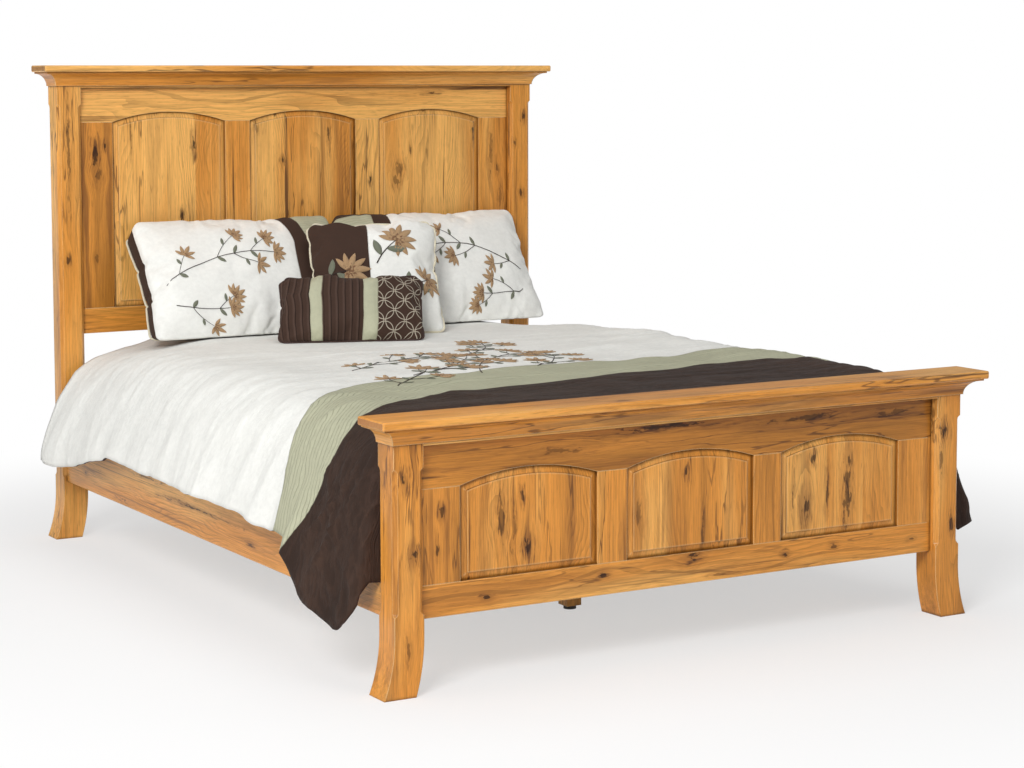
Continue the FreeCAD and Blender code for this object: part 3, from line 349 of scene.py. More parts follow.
KNOTS = {
    "footboard_post_left": [(0.503, -0.802, 0.010, 1.7), (0.328, -0.775, 0.008, 1.7),
                            (0.10, -0.79, 0.004, 6, 0.6)],
    "footboard_post_right": [(0.490, 0.774, 0.010, 1.6, 0.8), (0.240, 0.802, 0.007, 2.2, 0.8),
                             (0.415, 0.765, 0.004, 7, 0.6)],
    "footboard_stile_outer_left": [(0.414, -0.690, 0.006, 2.0, 0.8), (0.330, -0.702, 0.004, 4, 0.8)],
    "footboard_panel_left": [(0.310, -0.460, 0.010, 1.8), (0.385, -0.533, 0.008, 6, 0.6),
                             (0.431, -0.476, 0.006, 2.4, 0.7), (0.350, -0.500, 0.005, 9, 0.5)],
    "footboard_panel_centre": [(0.444, -0.013, 0.005, 2.2), (0.300, 0.034, 0.003, 10, 0.6),
                               (0.36, -0.15, 0.009, 3, 0.4)],
    "footboard_panel_right": [(0.448, 0.370, 0.007, 1.8, 0.8), (0.436, 0.481, 0.006, 2.0, 0.8),
                              (0.324, 0.348, 0.010, 2.2, 0.8), (0.358, 0.414, 0.004, 8, 0.7),
                              (0.353, 0.311, 0.003, 12, 0.6), (0.355, 0.478, 0.009, 8, 0.7)],
    "footboard_bottom_rail": [(0.0, 0.236, 0.010, 1.8), (-0.253, 0.220, 0.005, 1.8),
                              (-0.572, 0.205, 0.005, 1.7), (0.284, 0.215, 0.005, 1.6),
                              (0.437, 0.219, 0.005, 1.8, 0.7), (0.690, 0.210, 0.004, 2, 0.7),
                              (0.093, 0.184, 0.003, 8, 0.5)],
    "footboard_top_rail": [(-0.077, 0.562, 0.006, 16, 0.8), (0.348, 0.552, 0.006, 14, 0.7),
                           (-0.371, 0.528, 0.008, 6, 0.5), (0.62, 0.545, 0.006, 9, 0.6)],
    "footboard_header": [(0.454, 0.604, 0.004, 6, 0.7), (-0.52, 0.592, 0.004, 12, 0.8)],
    "footboard_cap": [(-0.233, -1.12, 0.007, 2.0, 0.7)],
    "headboard_post_left": [(1.181, -0.792, 0.004, 20, 0.6), (0.848, -0.80, 0.006, 2, 0.8),
                            (0.212, -0.79, 0.006, 2, 0.7)],
    "headboard_post_right": [(1.267, 0.800, 0.006, 1.8, 0.8), (1.181, 0.765, 0.004, 2, 0.7),
                             (1.012, 0.792, 0.006, 1.8, 0.8)],
    "headboard_stile_outer_left": [(1.162, -0.700, 0.009, 3.4), (1.101, -0.692, 0.012, 1.5, 0.55),
                                   (1.190, -0.669, 0.005, 2.0), (0.847, -0.700, 0.006, 2, 0.5)],
    "headboard_stile_outer_right": [(1.148, 0.688, 0.006, 9, 0.45), (1.097, 0.714, 0.005, 3, 0.6),
                                    (0.986, 0.722, 0.006, 7, 0.45)],
    "headboard_stile_inner_right": [(1.069, 0.238, 0.005, 2.2, 0.8)],
    "headboard_panel_left": [(1.196, -0.375, 0.005, 5), (0.972, -0.420, 0.005, 2.4),
                             (1.22, -0.584, 0.003, 12, 0.4)],
    "headboard_panel_centre": [(1.136, -0.073, 0.005, 1.6), (1.215, 0.090, 0.004, 7, 0.8),
                               (1.240, -0.165, 0.006, 2.4, 0.5)],
    "headboard_panel_right": [(1.098, 0.342, 0.014, 1.4, 0.45), (1.060, 0.338, 0.009, 1.9, 0.55),
                              (1.165, 0.385, 0.004, 3, 0.6), (1.225, 0.622, 0.005, 5),
                              (1.150, 0.448, 0.003, 12, 0.35)],
    "headboard_top_rail": [(0.468, 1.348, 0.004, 5, 0.8)],
    "side_rail_left": [(0.602, 0.193, 0.004, 9, 0.7), (0.10, 0.250, 0.003, 42, 0.9),
                       (-0.287, 0.215, 0.005, 3, 0.6), (0.909, 0.229, 0.005, 2, 0.8),
                       (0.42, 0.285, 0.003, 22, 0.7)],
    "side_rail_right": [(0.42, 0.262, 0.006, 3), (-0.31, 0.214, 0.005, 6)],
}
BOARDS = {
    "headboard_panel_left": (0.26, [(-0.466, 0.08), (-0.372, 0.32)]),
    "headboard_panel_centre": (0.24, [(-0.056, 0.50), (0.061, 0.72)]),
    "headboard_panel_right": (0.22, [(0.501, 0.0), (0.523, 0.28)]),
    "footboard_panel_left": (0.66, [(-0.440, 0.70)]),
    "footboard_panel_centre": (0.56, [(0.029, 0.66)]),
    "footboard_panel_right": (0.44, [(0.414, 0.40), (0.529, 0.56)]),
}
TONES = {
    "footboard_post_left": 0.78, "footboard_post_right": 0.56, "headboard_post_left": 0.46,
    "headboard_post_right": 0.46, "footboard_top_rail": 1.0, "footboard_bottom_rail": 0.46,
    "footboard_cove_front": 0.75, "headboard_top_rail": 0.18, "headboard_cap": 0.28, "footboard_cap": 0.62,
    "side_rail_left": 0.40, "side_rail_right": 0.50, "headboard_stile_outer_left": 1.1,
    "headboard_stile_outer_right": 0.62, "headboard_stile_inner_left": 0.28,
    "headboard_stile_inner_right": 0.30, "footboard_stile_outer_left": 0.78,
    "footboard_stile_outer_right": 0.64, "footboard_stile_inner_left": 0.58,
    "footboard_stile_inner_right": 0.58,
}
PLAIN_TONE, HIDDEN_TONE = 0.5, 0.12


def lie_of(node):
    """The way the grain of a wooden CAD node runs, or None for the other nodes."""
    if "screws" in node:
        return None
    if "cove_left" in node or "cove_right" in node or node.startswith(("side_rail", "ledger")):
        return "y"
    if node.endswith("_cap"):
        return "cap"
    if node.endswith(("header", "_top_rail", "_bottom_rail", "cove_front")) or node.startswith("slat_"):
        return "x"
    if "_post_" in node or "_stile_" in node or "_panel_" in node or node.startswith("centre_leg"):
        return "z"
    return None


def finish_woodwork():
    """Gives every wooden CAD node its own board of hickory, with its grain along its length."""
    wooden = [node for node in sorted(nodes) if lie_of(node)]
    for number, node in enumerate(wooden, 1):
        tone, boards = BOARDS.get(node, (TONES.get(node, PLAIN_TONE), ()))
        if node.startswith(("slat_", "ledger", "centre_leg")):
            tone = HIDDEN_TONE
        hickory(node, lie_of(node), number * 1.7, tone, boards, KNOTS.get(node, ()))


# ---------------------------------------------------------------- steel and plastic

def finish_hardware():
    """Zinc-plated steel on the plates and screws, moulded plastic on the levelling feet."""
    steel, tree, shader = new_material("zinc_plated_steel")
    spangle = cloud(here(tree), 240.0, 3.0, 0.6)
    feed(shader, {"Base Color": over(spangle, tint(150, 152, 156), tint(196, 197, 200)), "Metallic": 1.0,
                  "Roughness": span(spangle, 0.3, 0.7, 0.30, 0.46), "Normal": relief(spangle, 0.2, 0.0003)})
    plastic, tree, shader = new_material("moulded_plastic")
    spark = cloud(here(tree), 900.0)
    feed(shader, {"Base Color": over(spark, tint(38, 35, 32), tint(58, 54, 50)),
                  "Roughness": span(spark, 0.3, 0.7, 0.48, 0.62), "Normal": relief(spark, 0.35, 0.0002)})
    for node in ("ledger_screws", "rail_hook_plates", "post_slot_plates"):
        coat(node, steel)
    coat("levelling_feet", plastic)


# ---------------------------------------------------------------- cloth finishes

WHITE, SAGE, COCOA = tint(239, 239, 234), tint(184, 184, 158), tint(67, 50, 42)
PIPING, TAN, RUST = tint(222, 214, 190), tint(188, 154, 116), tint(138, 104, 76)
LEAF, STEM = tint(126, 130, 112), tint(62, 52, 48)
THREADS = 5200.0                    # the weave's turns, in radians to the metre
PAST = 9.0                          # a distance past every edge


def weave(place):
    """The height of a plain weave, about a thread to the millimetre."""
    x, y, z = (calc("SINE", part * THREADS) for part in parts(place))
    return x * y + y * z


def cloth(name, colour_of, sheen=0.04, roughness=0.86):
    """A cotton finish. colour_of(tree, place) gives its colour, the height of its stitching or None, and where
    it shines, if anywhere."""
    material, tree, shader = new_material(name)
    place = here(tree)
    colour, stitches, *shine = colour_of(tree, place)
    slub, soft = cloud(place, 70.0, 4.0, 0.65), cloud(place, 9.0, 3.0, 0.55)
    colour = shade(colour, span(slub, 0.25, 0.75, 0.955, 1.035))
    colour = shade(colour, span(soft, 0.3, 0.7, 0.965, 1.02))
    rough, gleam = span(slub, 0.3, 0.7, roughness - 0.06, roughness + 0.06), 0.12
    if shine:
        rough, gleam = shine[0] * -0.16 + rough, shine[0] * 0.04 + gleam
    height = weave(place) * 0.05 + slub * 0.35 + soft * 1.6
    if stitches is not None:
        height = height + stitches
    feed(shader, {"Base Color": colour, "Roughness": rough, "Specular IOR Level": gleam, "Sheen Weight": sheen,
                  "Sheen Roughness": 0.45, "Normal": relief(height, 0.55, 0.0016)})
    return material


def plain(colour):
    """A cloth of one dye."""
    return lambda tree, place: (over(cloud(place, 30.0), colour, darker(colour, 0.93)), None)


def ripple(place, along, pitch, size, wander, wide):
    """Lines of ripple stitching at a pitch, that wander: 1 in a line, 0 a share of the pitch beside it."""
    line = along / pitch + (cloud(place, size) - 0.5) * wander
    return ridge(calc("FRACT", line) - 0.5, wide)


# ---------------------------------------------------------------- mesh helpers

def only(obj=None):
    """Deselects all, then selects and activates one object."""
    if bpy.context.object and bpy.context.object.mode != "OBJECT":
        bpy.ops.object.mode_set(mode="OBJECT")
    bpy.ops.object.select_all(action="DESELECT")
    if obj is not None:
        obj.select_set(True)
        bpy.context.view_layer.objects.active = obj


def points_of(obj):
    """A mesh's points as an array."""
    flat = np.empty(len(obj.data.vertices) * 3)
    obj.data.vertices.foreach_get("co", flat)
    return flat.reshape(-1, 3)


def set_points(obj, points):
    """Moves a mesh's points."""
    obj.data.vertices.foreach_set("co", np.ascontiguousarray(points, dtype=np.float64).ravel())
    obj.data.update()


def carry(obj, name, values):
    """Stores a number at each point of a mesh, for its material to read."""
    obj.data.attributes.new(name, "FLOAT", "POINT").data.foreach_set(
        "value", np.ascontiguousarray(values, dtype=np.float32))


def finish_with(obj, kind, **settings):
    """Adds a modifier and applies it."""
    only(obj)
    modifier = obj.modifiers.new(kind.lower(), kind)
    for name, value in settings.items():
        setattr(modifier, name, value)
    bpy.ops.object.modifier_apply(modifier=modifier.name)


def smooth(obj):
    """Smooth shading all over."""
    only(obj)
    bpy.ops.object.shade_smooth()


def drift(a, b, scale_a, scale_b, seed):
    """Smooth wandering from -1 to 1 on two coordinates, the same every run."""
    lattice = np.random.default_rng(seed).uniform(-1, 1, (64, 64))
    a, b = np.broadcast_arrays(np.asarray(a, float) / scale_a, np.asarray(b, float) / scale_b)
    i, j = np.floor(a).astype(int), np.floor(b).astype(int)
    u, v = a - i, b - j
    u, v = u ** 3 * (u * (u * 6 - 15) + 10), v ** 3 * (v * (v * 6 - 15) + 10)

    def corner(di, dj):
        return lattice[(i + di) % 64, (j + dj) % 64]

    return (corner(0, 0) * (1 - u) + corner(1, 0) * u) * (1 - v) + (corner(0, 1) * (1 - u) + corner(1, 1) * u) * v


def crest(*wandering):
    """The sharp crests of a wandering: 1 where it crosses nought, towards 0 elsewhere."""
    return 1 - np.abs(drift(*wandering))


def bump_at(value, middle, width):
    """A soft hill, 1 at its middle."""
    return np.exp(-((value - middle) / width) ** 2)


def ease(value, low, high):
    """A smooth step from 0 to 1."""
    t = np.clip((value - low) / (high - low), 0, 1)
    return t * t * (3 - 2 * t)


# ---------------------------------------------------------------- comforter

TOP = 0.6213                        # the height of the made bed
FOOT_TURN, FOOT_ROUND, HEAD_END = -0.962, 0.050, 1.0425     # where the sheet turns down, how round, its end
FOOT_ROWS, TURN_ROWS = 0.062, 0.045     # the shares of its rows that are tucked in, and that turn
TUCKED = 0.24                       # the length tucked in at the foot
HANGS_FROM = 0.80                   # the distance from the middle at which the sheet hangs
LOFT = 0.018
# half cross-sections, (out, up) from the middle of the bed to where the sheet falls free
SIDE_CURVE = [(0, 0.6213), (0.60, 0.6213), (0.68, 0.617), (0.74, 0.601), (0.785, 0.571), (0.82, 0.530)]
FAR_CURVE = [(0, 0.6213), (0.66, 0.6213), (0.73, 0.618), (0.775, 0.602), (0.81, 0.571), (0.832, 0.530)]
HEAD_CURVE = [(0, 0.6213), (0.47, 0.6205), (0.53, 0.609), (0.587, 0.590), (0.636, 0.580), (0.681, 0.570),
              (0.726, 0.555), (0.768, 0.533), (0.80, 0.502), (0.829, 0.467), (0.852, 0.429), (0.867, 0.397),
              (0.885, 0.356), (0.898, 0.320), (0.909, 0.275), (0.906, 0.252)]
# the hem, (along, out, up) from foot to head
HEM = [(-1.02, 0.878, 0.318), (-1.01, 0.882, 0.246), (-1.00, 0.886, 0.197), (-0.98, 0.892, 0.166),
       (-0.945, 0.903, 0.138), (-0.82, 0.921, 0.186), (-0.716, 0.931, 0.284), (-0.706, 0.908, 0.312),
       (-0.62, 0.907, 0.319), (-0.52, 0.907, 0.316), (-0.38, 0.907, 0.331), (-0.06, 0.907, 0.326),
       (0.14, 0.907, 0.332), (0.35, 0.907, 0.329), (0.49, 0.907, 0.340), (0.525, 0.907, 0.330),
       (0.74, 0.907, 0.302), (0.87, 0.907, 0.280), (1.05, 0.906, 0.252)]
FAR_HEM = [(-1.02, 0.974, 0.232), (-1.00, 0.972, 0.224), (-0.95, 0.954, 0.216), (-0.82, 0.930, 0.238),
           (-0.716, 0.920, 0.292)] + HEM[6:]
# the edges of the white and of the sage field, (across, along)
WHITE_EDGE = [(-1.30, -0.64), (-1.08, -0.616), (-0.98, -0.598), (-0.90, -0.582), (-0.84, -0.557),
              (-0.79, -0.529), (-0.74, -0.500), (-0.66, -0.440), (-0.57, -0.376), (-0.48, -0.336),
              (-0.38, -0.296), (-0.25, -0.278), (-0.09, -0.292), (0.09, -0.286), (0.36, -0.288),
              (0.59, -0.250), (0.70, -0.290), (0.90, -0.42), (1.30, -0.55)]
SAGE_EDGE = [(-1.30, -0.69), (-1.10, -0.716), (-1.083, -0.731), (-1.033, -0.764), (-0.988, -0.780),
             (-0.926, -0.797), (-0.873, -0.800), (-0.829, -0.796), (-0.779, -0.778), (-0.746, -0.764),
             (-0.688, -0.736), (-0.58, -0.680), (-0.49, -0.637), (-0.41, -0.608), (-0.27, -0.580),
             (-0.10, -0.590), (0.04, -0.578), (0.20, -0.574), (0.41, -0.515), (0.63, -0.550), (0.72, -0.650),
             (0.90, -0.74), (1.30, -0.80)]


def edge_line(s, marks):
    """A colour boundary's place along the bed, for a distance across the sheet, through marked points."""
    across, along = np.array(marks).T
    fine = np.linspace(across[0], across[-1], 400)
    line = np.interp(fine, across, along)
    kernel = np.hanning(25)
    line = np.convolve(np.pad(line, 12, mode="edge"), kernel / kernel.sum(), mode="valid")
    return np.interp(s, fine, line)


def evened(curve):
    """A cross-section at equal steps along it, its corners softened, and its length."""
    curve = np.array(curve)
    run = np.concatenate([[0], np.cumsum(np.hypot(*np.diff(curve, axis=0).T))])
    kernel = np.hanning(13) / np.hanning(13).sum()
    even = []
    for n in (0, 1):
        line = np.interp(np.linspace(0, 1, 161) * run[-1], run, curve[:, n])
        padded = np.concatenate([2 * line[0] - line[6:0:-1], line, 2 * line[-1] - line[-2:-8:-1]])
        even.append(np.convolve(padded, kernel, mode="valid"))
    return np.array(even), run[-1]


ROWS = np.linspace(-1.03, 1.05, 209)    # a cross-section every centimetre, from foot to head


def drape_table(side_curve, hem_marks, bulge):
    """One side's cross-sections in all rows: out and up at equal steps from the middle of the sheet to its
    hem, and the length of each."""
    along = np.array(hem_marks)
    b = np.linspace(0, 1, 12)[1:, None]
    free = np.array(side_curve[-1])
    table, lengths = [], []
    head, head_length = evened(HEAD_CURVE)
    for y in ROWS:
        hem = np.array([np.interp(y, along[:, 0], along[:, n]) for n in (1, 2)])
        fall = (1 - b) ** 2 * free + 2 * b * (1 - b) * (free + bulge) + b * b * hem
        middle, length = evened(np.vstack([side_curve, fall]))
        share = float(ease(y, 0.50, 1.04))
        table.append(middle * (1 - share) + head * share)
        lengths.append(length * (1 - share) + head_length * share)
    return np.array(table).transpose(1, 0, 2), np.array(lengths)


NEAR, NEAR_LENGTHS = drape_table(SIDE_CURVE, HEM, (0.048, -0.080))
FAR, FAR_LENGTHS = drape_table(FAR_CURVE, FAR_HEM, (0.062, -0.080))


def half_width(side, y):
    """The sheet's length from its middle to its hem, on either side."""
    return np.where(side > 0, np.interp(y, ROWS, FAR_LENGTHS), np.interp(y, ROWS, NEAR_LENGTHS))


def folds_of(s, side, y, hang, length, upward):
    """How proud of its cross-sections the comforter stands, in hanging folds, creases and soft puffs."""
    waved = y - 0.22 * hang * (length - HANGS_FROM)
    calm = 0.45 + 0.55 * ease(y, -0.78, -0.62)
    folds = 0.011 * drift(waved, side, 0.17, 1, 11) + 0.007 * drift(waved, side, 0.070, 1, 12)
    crease = 0.0045 * crest(y - 0.35 * s, s, 0.055, 0.30, 13) ** 4
    cross = 0.0035 * crest(y + 0.25 * s, s, 0.080, 0.26, 14) ** 5
    tuck = 0.006 * crest(y + 0.75 * s, s - 0.4 * y, 0.090, 0.22, 15) ** 6
    proud = folds * calm * hang ** 1.1 + (crease + cross) * ease(s, 0.50, 0.80)
    proud = proud + tuck * ease(s, 0.74, 0.86) * (1 - ease(y, -0.84, -0.70))
    swell = np.where(side > 0, 0.012, 0.0) * bump_at(s, 0.70, 0.13)
    proud = proud + swell * ease(y, -0.98, -0.80) * (1 - ease(y, 0.20, 0.45))
    spread = np.arctan2(s - 0.78, y + 1.04)
    fanned = crest(spread, side, 0.19, 1, 33) ** 3 + 0.5 * crest(spread, s, 0.11, 0.3, 34) ** 4
    fanned = 0.0150 * fanned * ease(s, 0.83, 0.93) * (1 - ease(y, -0.86, -0.72))
    proud = proud + fanned * (1 - 0.6 * ease(hang, 0.8, 1.0))
    bare = 1 - ease(y, 0.30, 0.46)
    puff = 0.0050 * drift(s * side, y, 0.24, 0.22, 21) + 0.0028 * drift(s * side, y, 0.10, 0.07, 22) - 0.0040
    soft = 0.0045 * crest(s * side * 0.7 + 0.3 * y, y, 0.30, 0.060, 23) ** 4
    return proud + np.maximum(upward, 0) * (1 - hang) * ((puff + soft) * bare - 0.002 * (1 - bare))


def comforter_sheet(k, r):
    """The comforter's outer face, the distance across it, the place along it and how proud its folds are.
    k runs across from -1 to 1, and r along from 0, tucked in at the foot, to 1 at the head."""
    q, side = np.abs(k), np.sign(k)
    ahead = np.clip((r - FOOT_ROWS - TURN_ROWS) / (1 - FOOT_ROWS - TURN_ROWS), 0, 1)
    angle = (1 - np.clip((r - FOOT_ROWS) / TURN_ROWS, 0, 1)) * math.pi / 2
    under = np.clip(1 - r / FOOT_ROWS, 0, 1)
    y = FOOT_TURN + ahead * (HEAD_END - FOOT_TURN) - FOOT_ROUND * np.sin(angle)
    a = np.clip((y - ROWS[0]) / (ROWS[1] - ROWS[0]), 0, len(ROWS) - 1.001)
    b = np.clip(q, 0, 1) * (NEAR.shape[2] - 1.001)
    i, j = a.astype(int), b.astype(int)
    u, v = a - i, b - j

    def at(near, far):
        both = [(table[i, j] * (1 - v) + table[i, j + 1] * v) * (1 - u)
                + (table[i + 1, j] * (1 - v) + table[i + 1, j + 1] * v) * u for table in (near, far)]
        return np.where(side > 0, both[1], both[0])

    x, z = at(NEAR[0], FAR[0]), at(NEAR[1], FAR[1])
    step_x, step_z = (at(*np.gradient(np.array([NEAR[n], FAR[n]]), axis=2)) for n in (0, 1))
    out_x, out_z = -step_z / np.hypot(step_x, step_z), step_x / np.hypot(step_x, step_z)
    length = half_width(side, y)
    s = q * length
    hang = np.clip((s - HANGS_FROM) / (length - HANGS_FROM), 0, 1)
    proud = folds_of(s, side, y, hang, length, out_z)
    scallop = 0.0035 * drift(y, side, 0.11, 1, 5) + 0.002 * drift(y, side, 0.045, 1, 6)
    deep = np.interp(s, [0.69, 0.78, 0.9, 1.2], [TUCKED, 0.05, 0.03, 0.03])
    inward = FOOT_ROUND * (1 - np.cos(angle)) + under * deep
    x = x + out_x * (proud - inward)
    z = z + out_z * (proud - inward) + scallop * hang ** 4
    t = FOOT_TURN + ahead * (HEAD_END - FOOT_TURN) - angle * FOOT_ROUND - under * TUCKED
    return np.stack([side * x, y, z], axis=-1), s * side, t, proud


def quilting(tree, place):
    """White, sage and cocoa fields, ripple stitching on the sage, and the seams between the fields, with painted
    shade in the valleys of the folds and a painted highlight along creases in the cocoa.
    """
    white, brown, across, along, proud = (
        read(tree, name) for name in ("from_white", "from_brown", "across", "along", "proud"))
    in_white, in_brown = white > 0.0, brown < 0.0
    flat = joined(across, along)
    rumple, pull = cloud(flat, (5.0, 44.0, 1.0), 3.0, 0.6), cloud(flat, (2.6, 17.0, 1.0))
    # Crumpled creases in the cocoa: used as a bump, and below as a painted highlight along them.
    crumple_and_sheen = ridge(cloud(flat, (11.0, 24.0, 1.0), 3.0, 0.55) - 0.5, 0.10) * in_brown
    stitch = ripple(place, white, 0.0155, 11.0, 2.6, 0.13)
    seam = calc("MAXIMUM", ridge(white, 0.004), ridge(brown, 0.004))
    colour = over(in_white, over(stitch * 0.45, SAGE, tint(112, 114, 90)), WHITE)
    colour = over(in_brown, colour, tint(58, 42, 34))
    # Painted shade: the fold valleys darkened, deepest in the cocoa.
    full = (1.0, 1.0, 1.0, 1.0)
    fold_shade = over(in_brown, darker(full, 0.955), darker(full, 0.68))
    colour = over(1.0, colour, over(span(proud, -0.004, 0.013), fold_shade, full), "MULTIPLY")
    # Painted highlight along the creases of the cocoa.
    colour = shade(colour, crumple_and_sheen * 0.30 + 1.0)
    colour = over(seam * 0.35, colour, tint(70, 60, 52))
    sewn = stitch * (1.0 - in_white) * (1.0 - in_brown)
    height = sewn * -1.6 + seam * -1.2 + rumple * 2.6 + crumple_and_sheen * 1.1 + pull * 5.0
    return colour, height, in_brown


def make_comforter():
    """The quilted comforter, draped over the mattress, tucked in at the foot."""
    only()
    bpy.ops.mesh.primitive_grid_add(x_subdivisions=190, y_subdivisions=186, size=2)
    sheet = bpy.context.object
    sheet.name = sheet.data.name = "comforter_sheet"
    start = points_of(sheet)
    place, s, t, proud = comforter_sheet(start[:, 0], (start[:, 1] + 1) / 2)
    set_points(sheet, place)
    carry(sheet, "from_white", t - edge_line(s, WHITE_EDGE))
    carry(sheet, "from_brown", t - edge_line(s, SAGE_EDGE))
    carry(sheet, "proud", proud)
    carry(sheet, "across", s)
    carry(sheet, "along", t)
    taper = sheet.vertex_groups.new(name="loft")
    near_hem = np.clip((1 - np.abs(start[:, 0])) / 0.030, 0, 1)
    near_head = np.clip((1 - start[:, 1]) / 0.030, 0, 1)
    loft = 0.32 + 0.68 * np.sqrt(np.minimum(near_hem, near_head))
    for index, value in enumerate(loft):
        taper.add([index], float(value), "REPLACE")
    sheet.data.materials.append(cloth("quilted_cotton", quilting))
    sheet.data.materials.append(cloth("cocoa_backing", plain(tint(70, 56, 54))))
    finish_with(sheet, "SOLIDIFY", thickness=LOFT, offset=-1.0, vertex_group="loft", use_even_offset=False,
                material_offset=1, material_offset_rim=1)
    smooth(sheet)
    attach(sheet, "mattress_set")
    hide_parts("comforter")
    return sheet


# ---------------------------------------------------------------- cushions

# width, height and thickness, and where seams cross the front
SHAM, SHAM_SEAMS = (0.668, 0.428, 0.200), (0.148, 0.202)
SQUARE, SQUARE_SEAM = (0.402, 0.390, 0.160), -0.02
OBLONG, OBLONG_SEAMS = (0.438, 0.240, 0.124), (-0.123, -0.088, 0.031, 0.075)
CUT = 1.09                          # cut size to filled size
CUT_CORNER, DRAWN, SEWN_CORNER = 0.022, 0.036, 0.020    # corner cut round, sides drawn in, corner when filled
FILLING, FRAMES = 5.0, 24           # the pressure in a bag, and how long it is blown up
RESTS = TOP + 0.0006
PLEAT, PLEAT_CREST, RING_CELL = 0.0205, 0.75, 0.062


def in_order(obj):
    """Numbers a mesh's points and faces by their places, so that a simulation of it runs the same each time."""
    points = points_of(obj)
    order = np.lexsort(points.round(6).T)
    number = np.argsort(order)
    faces = []
    for face in obj.data.polygons:
        ring = number[list(face.vertices)].tolist()
        first = ring.index(min(ring))
        faces.append(ring[first:] + ring[:first])
    mesh = bpy.data.meshes.new(obj.name)
    mesh.from_pydata(points[order].tolist(), [], sorted(faces))
    old, obj.data = obj.data, mesh
    bpy.data.meshes.remove(old)
    mesh.name = obj.name


def sewn_bag(name, width, height, deep, across, up):
    """A flat bag of cloth at its cut size, two panels and the narrow wall between them, and its flat points."""
    only()
    bpy.ops.mesh.primitive_grid_add(x_subdivisions=across, y_subdivisions=up, size=1)
    bag = bpy.context.object
    bag.name = bag.data.name = name
    bpy.ops.object.mode_set(mode="EDIT")
    bpy.ops.mesh.select_all(action="SELECT")
    bpy.ops.transform.resize(value=(width, height, 1.0))
    bpy.ops.transform.translate(value=(0, 0, -deep / 2))
    bpy.ops.mesh.extrude_region_move(TRANSFORM_OT_translate={"value": (0, 0, deep)})
    bpy.ops.mesh.select_all(action="SELECT")
    bpy.ops.mesh.normals_make_consistent(inside=False)
    bpy.ops.object.mode_set(mode="OBJECT")
    in_order(bag)
    return bag, points_of(bag)


def round_corners(flat, width, height, corner):
    """The flat bag's outline with its corners cut round."""
    points = flat.copy()
    inner = np.array([width / 2 - corner, height / 2 - corner])
    past = np.abs(points[:, :2]) - inner
    both = (past > 0).all(axis=1)
    reach = np.maximum(np.linalg.norm(past[both], axis=1), 1e-9)
    past[both] *= (past[both].max(axis=1) / reach)[:, None]
    points[both, :2] = np.sign(points[both, :2]) * (inner + past[both])
    return points


def fill_bag(bag):
    """Blows the bag up by a cloth simulation, and keeps the filled shape."""
    only(bag)
    modifier = bag.modifiers.new("filling", "CLOTH")
    settings = modifier.settings
    settings.quality = 6
    settings.mass = 0.2
    settings.tension_stiffness = settings.compression_stiffness = 18
    settings.shear_stiffness = 9
    settings.bending_stiffness = 0.25
    settings.air_damping = 4
    settings.use_pressure = True
    settings.uniform_pressure_force = FILLING
    settings.effector_weights.gravity = 0
    modifier.collision_settings.use_collision = False
    modifier.point_cache.frame_end = FRAMES
    for number in range(1, FRAMES + 1):
        bpy.context.scene.frame_set(number)
    bpy.ops.object.modifier_apply(modifier="filling")
    bpy.context.scene.frame_set(1)


def let_out(points, u, v, width, height):
    """Lets the sides of a filled bag out again, until they are drawn in evenly by a share in their middles."""
    made = points.copy()
    for axis, along, half, other in ((0, v, width / 2, height / 2), (1, u, height / 2, width / 2)):
        lines, which = np.unique(np.round(along, 5), return_inverse=True)
        past = np.clip(np.abs(lines) - (other - SEWN_CORNER), 0, SEWN_CORNER)
        cut = SEWN_CORNER - np.sqrt(SEWN_CORNER ** 2 - past ** 2)
        wanted = half * (1 - DRAWN * (1 - (lines / other) ** 2)) + 0.0020 * drift(lines, axis, 0.050, 1, 71)
        for side in (-1, 1):
            part = side * points[:, axis] > 0
            reach = np.array([np.abs(points[part & (which == n), axis]).max() for n in range(len(lines))])
            even = np.convolve(np.pad(reach + cut, 4, mode="edge"), np.full(9, 1 / 9), "valid")
            made[part, axis] *= (wanted / (0.2 * even + 0.8 * (reach + cut)))[which[part]]
    return made


def puckers(points, u, v, front, width, height, seams, seed):
    """Small gathers along the seams of a cushion, rays from its corners, and the dips of its cross seams."""
    made = points.copy()
    edge = np.minimum(width / 2 - np.abs(u), height / 2 - np.abs(v))
    along = np.where(width / 2 - np.abs(u) < height / 2 - np.abs(v), v, u)
    gathers = drift(along, edge, 0.020, 0.09, seed) * np.exp(-edge / 0.035) * ease(edge, 0.0, 0.012)
    slack = drift(u + 0.5 * v, v - 0.3 * u, 0.11, 0.06, seed + 1) + 0.5 * drift(u - v, v, 0.05, 0.07, seed + 2)
    lift = 0.0052 * gathers + 0.0046 * slack * ease(edge, 0.0, 0.06)
    for a, b in ((-1, -1), (1, -1), (-1, 1), (1, 1)):
        off_u, off_v = u - a * width / 2, v - b * height / 2
        far = np.hypot(off_u, off_v)
        rays = crest(np.arctan2(off_v, off_u), a + 2 * b, 0.26, 1, seed + 5) ** 3 - 0.3
        lift = lift + 0.0060 * rays * np.exp(-far / 0.11) * ease(far, 0.012, 0.05)
    for seam in seams:
        lift = lift - 0.0030 * bump_at(u, seam, 0.009)
    made[:, 2] += np.where(front, 1, -1) * lift
    return made


def pleated(points, u, v, front):
    """The oblong cushion's front with its narrow pleats, pressed to one side."""
    folds = ((u + PAST) / PLEAT) % 1.0
    zone = np.maximum(ease(u, -0.225, -0.212) * (1 - ease(u, -0.133, -0.123)),
                      ease(u, -0.088, -0.078) * (1 - ease(u, 0.021, 0.031)))
    rise = np.where(folds < PLEAT_CREST, folds / PLEAT_CREST, (1 - folds) / (1 - PLEAT_CREST))
    points[:, 2] += np.where(front, 1, 0) * zone * 0.0050 * rise * ease(OBLONG[1] / 2 - np.abs(v), 0.0, 0.04)
    return points


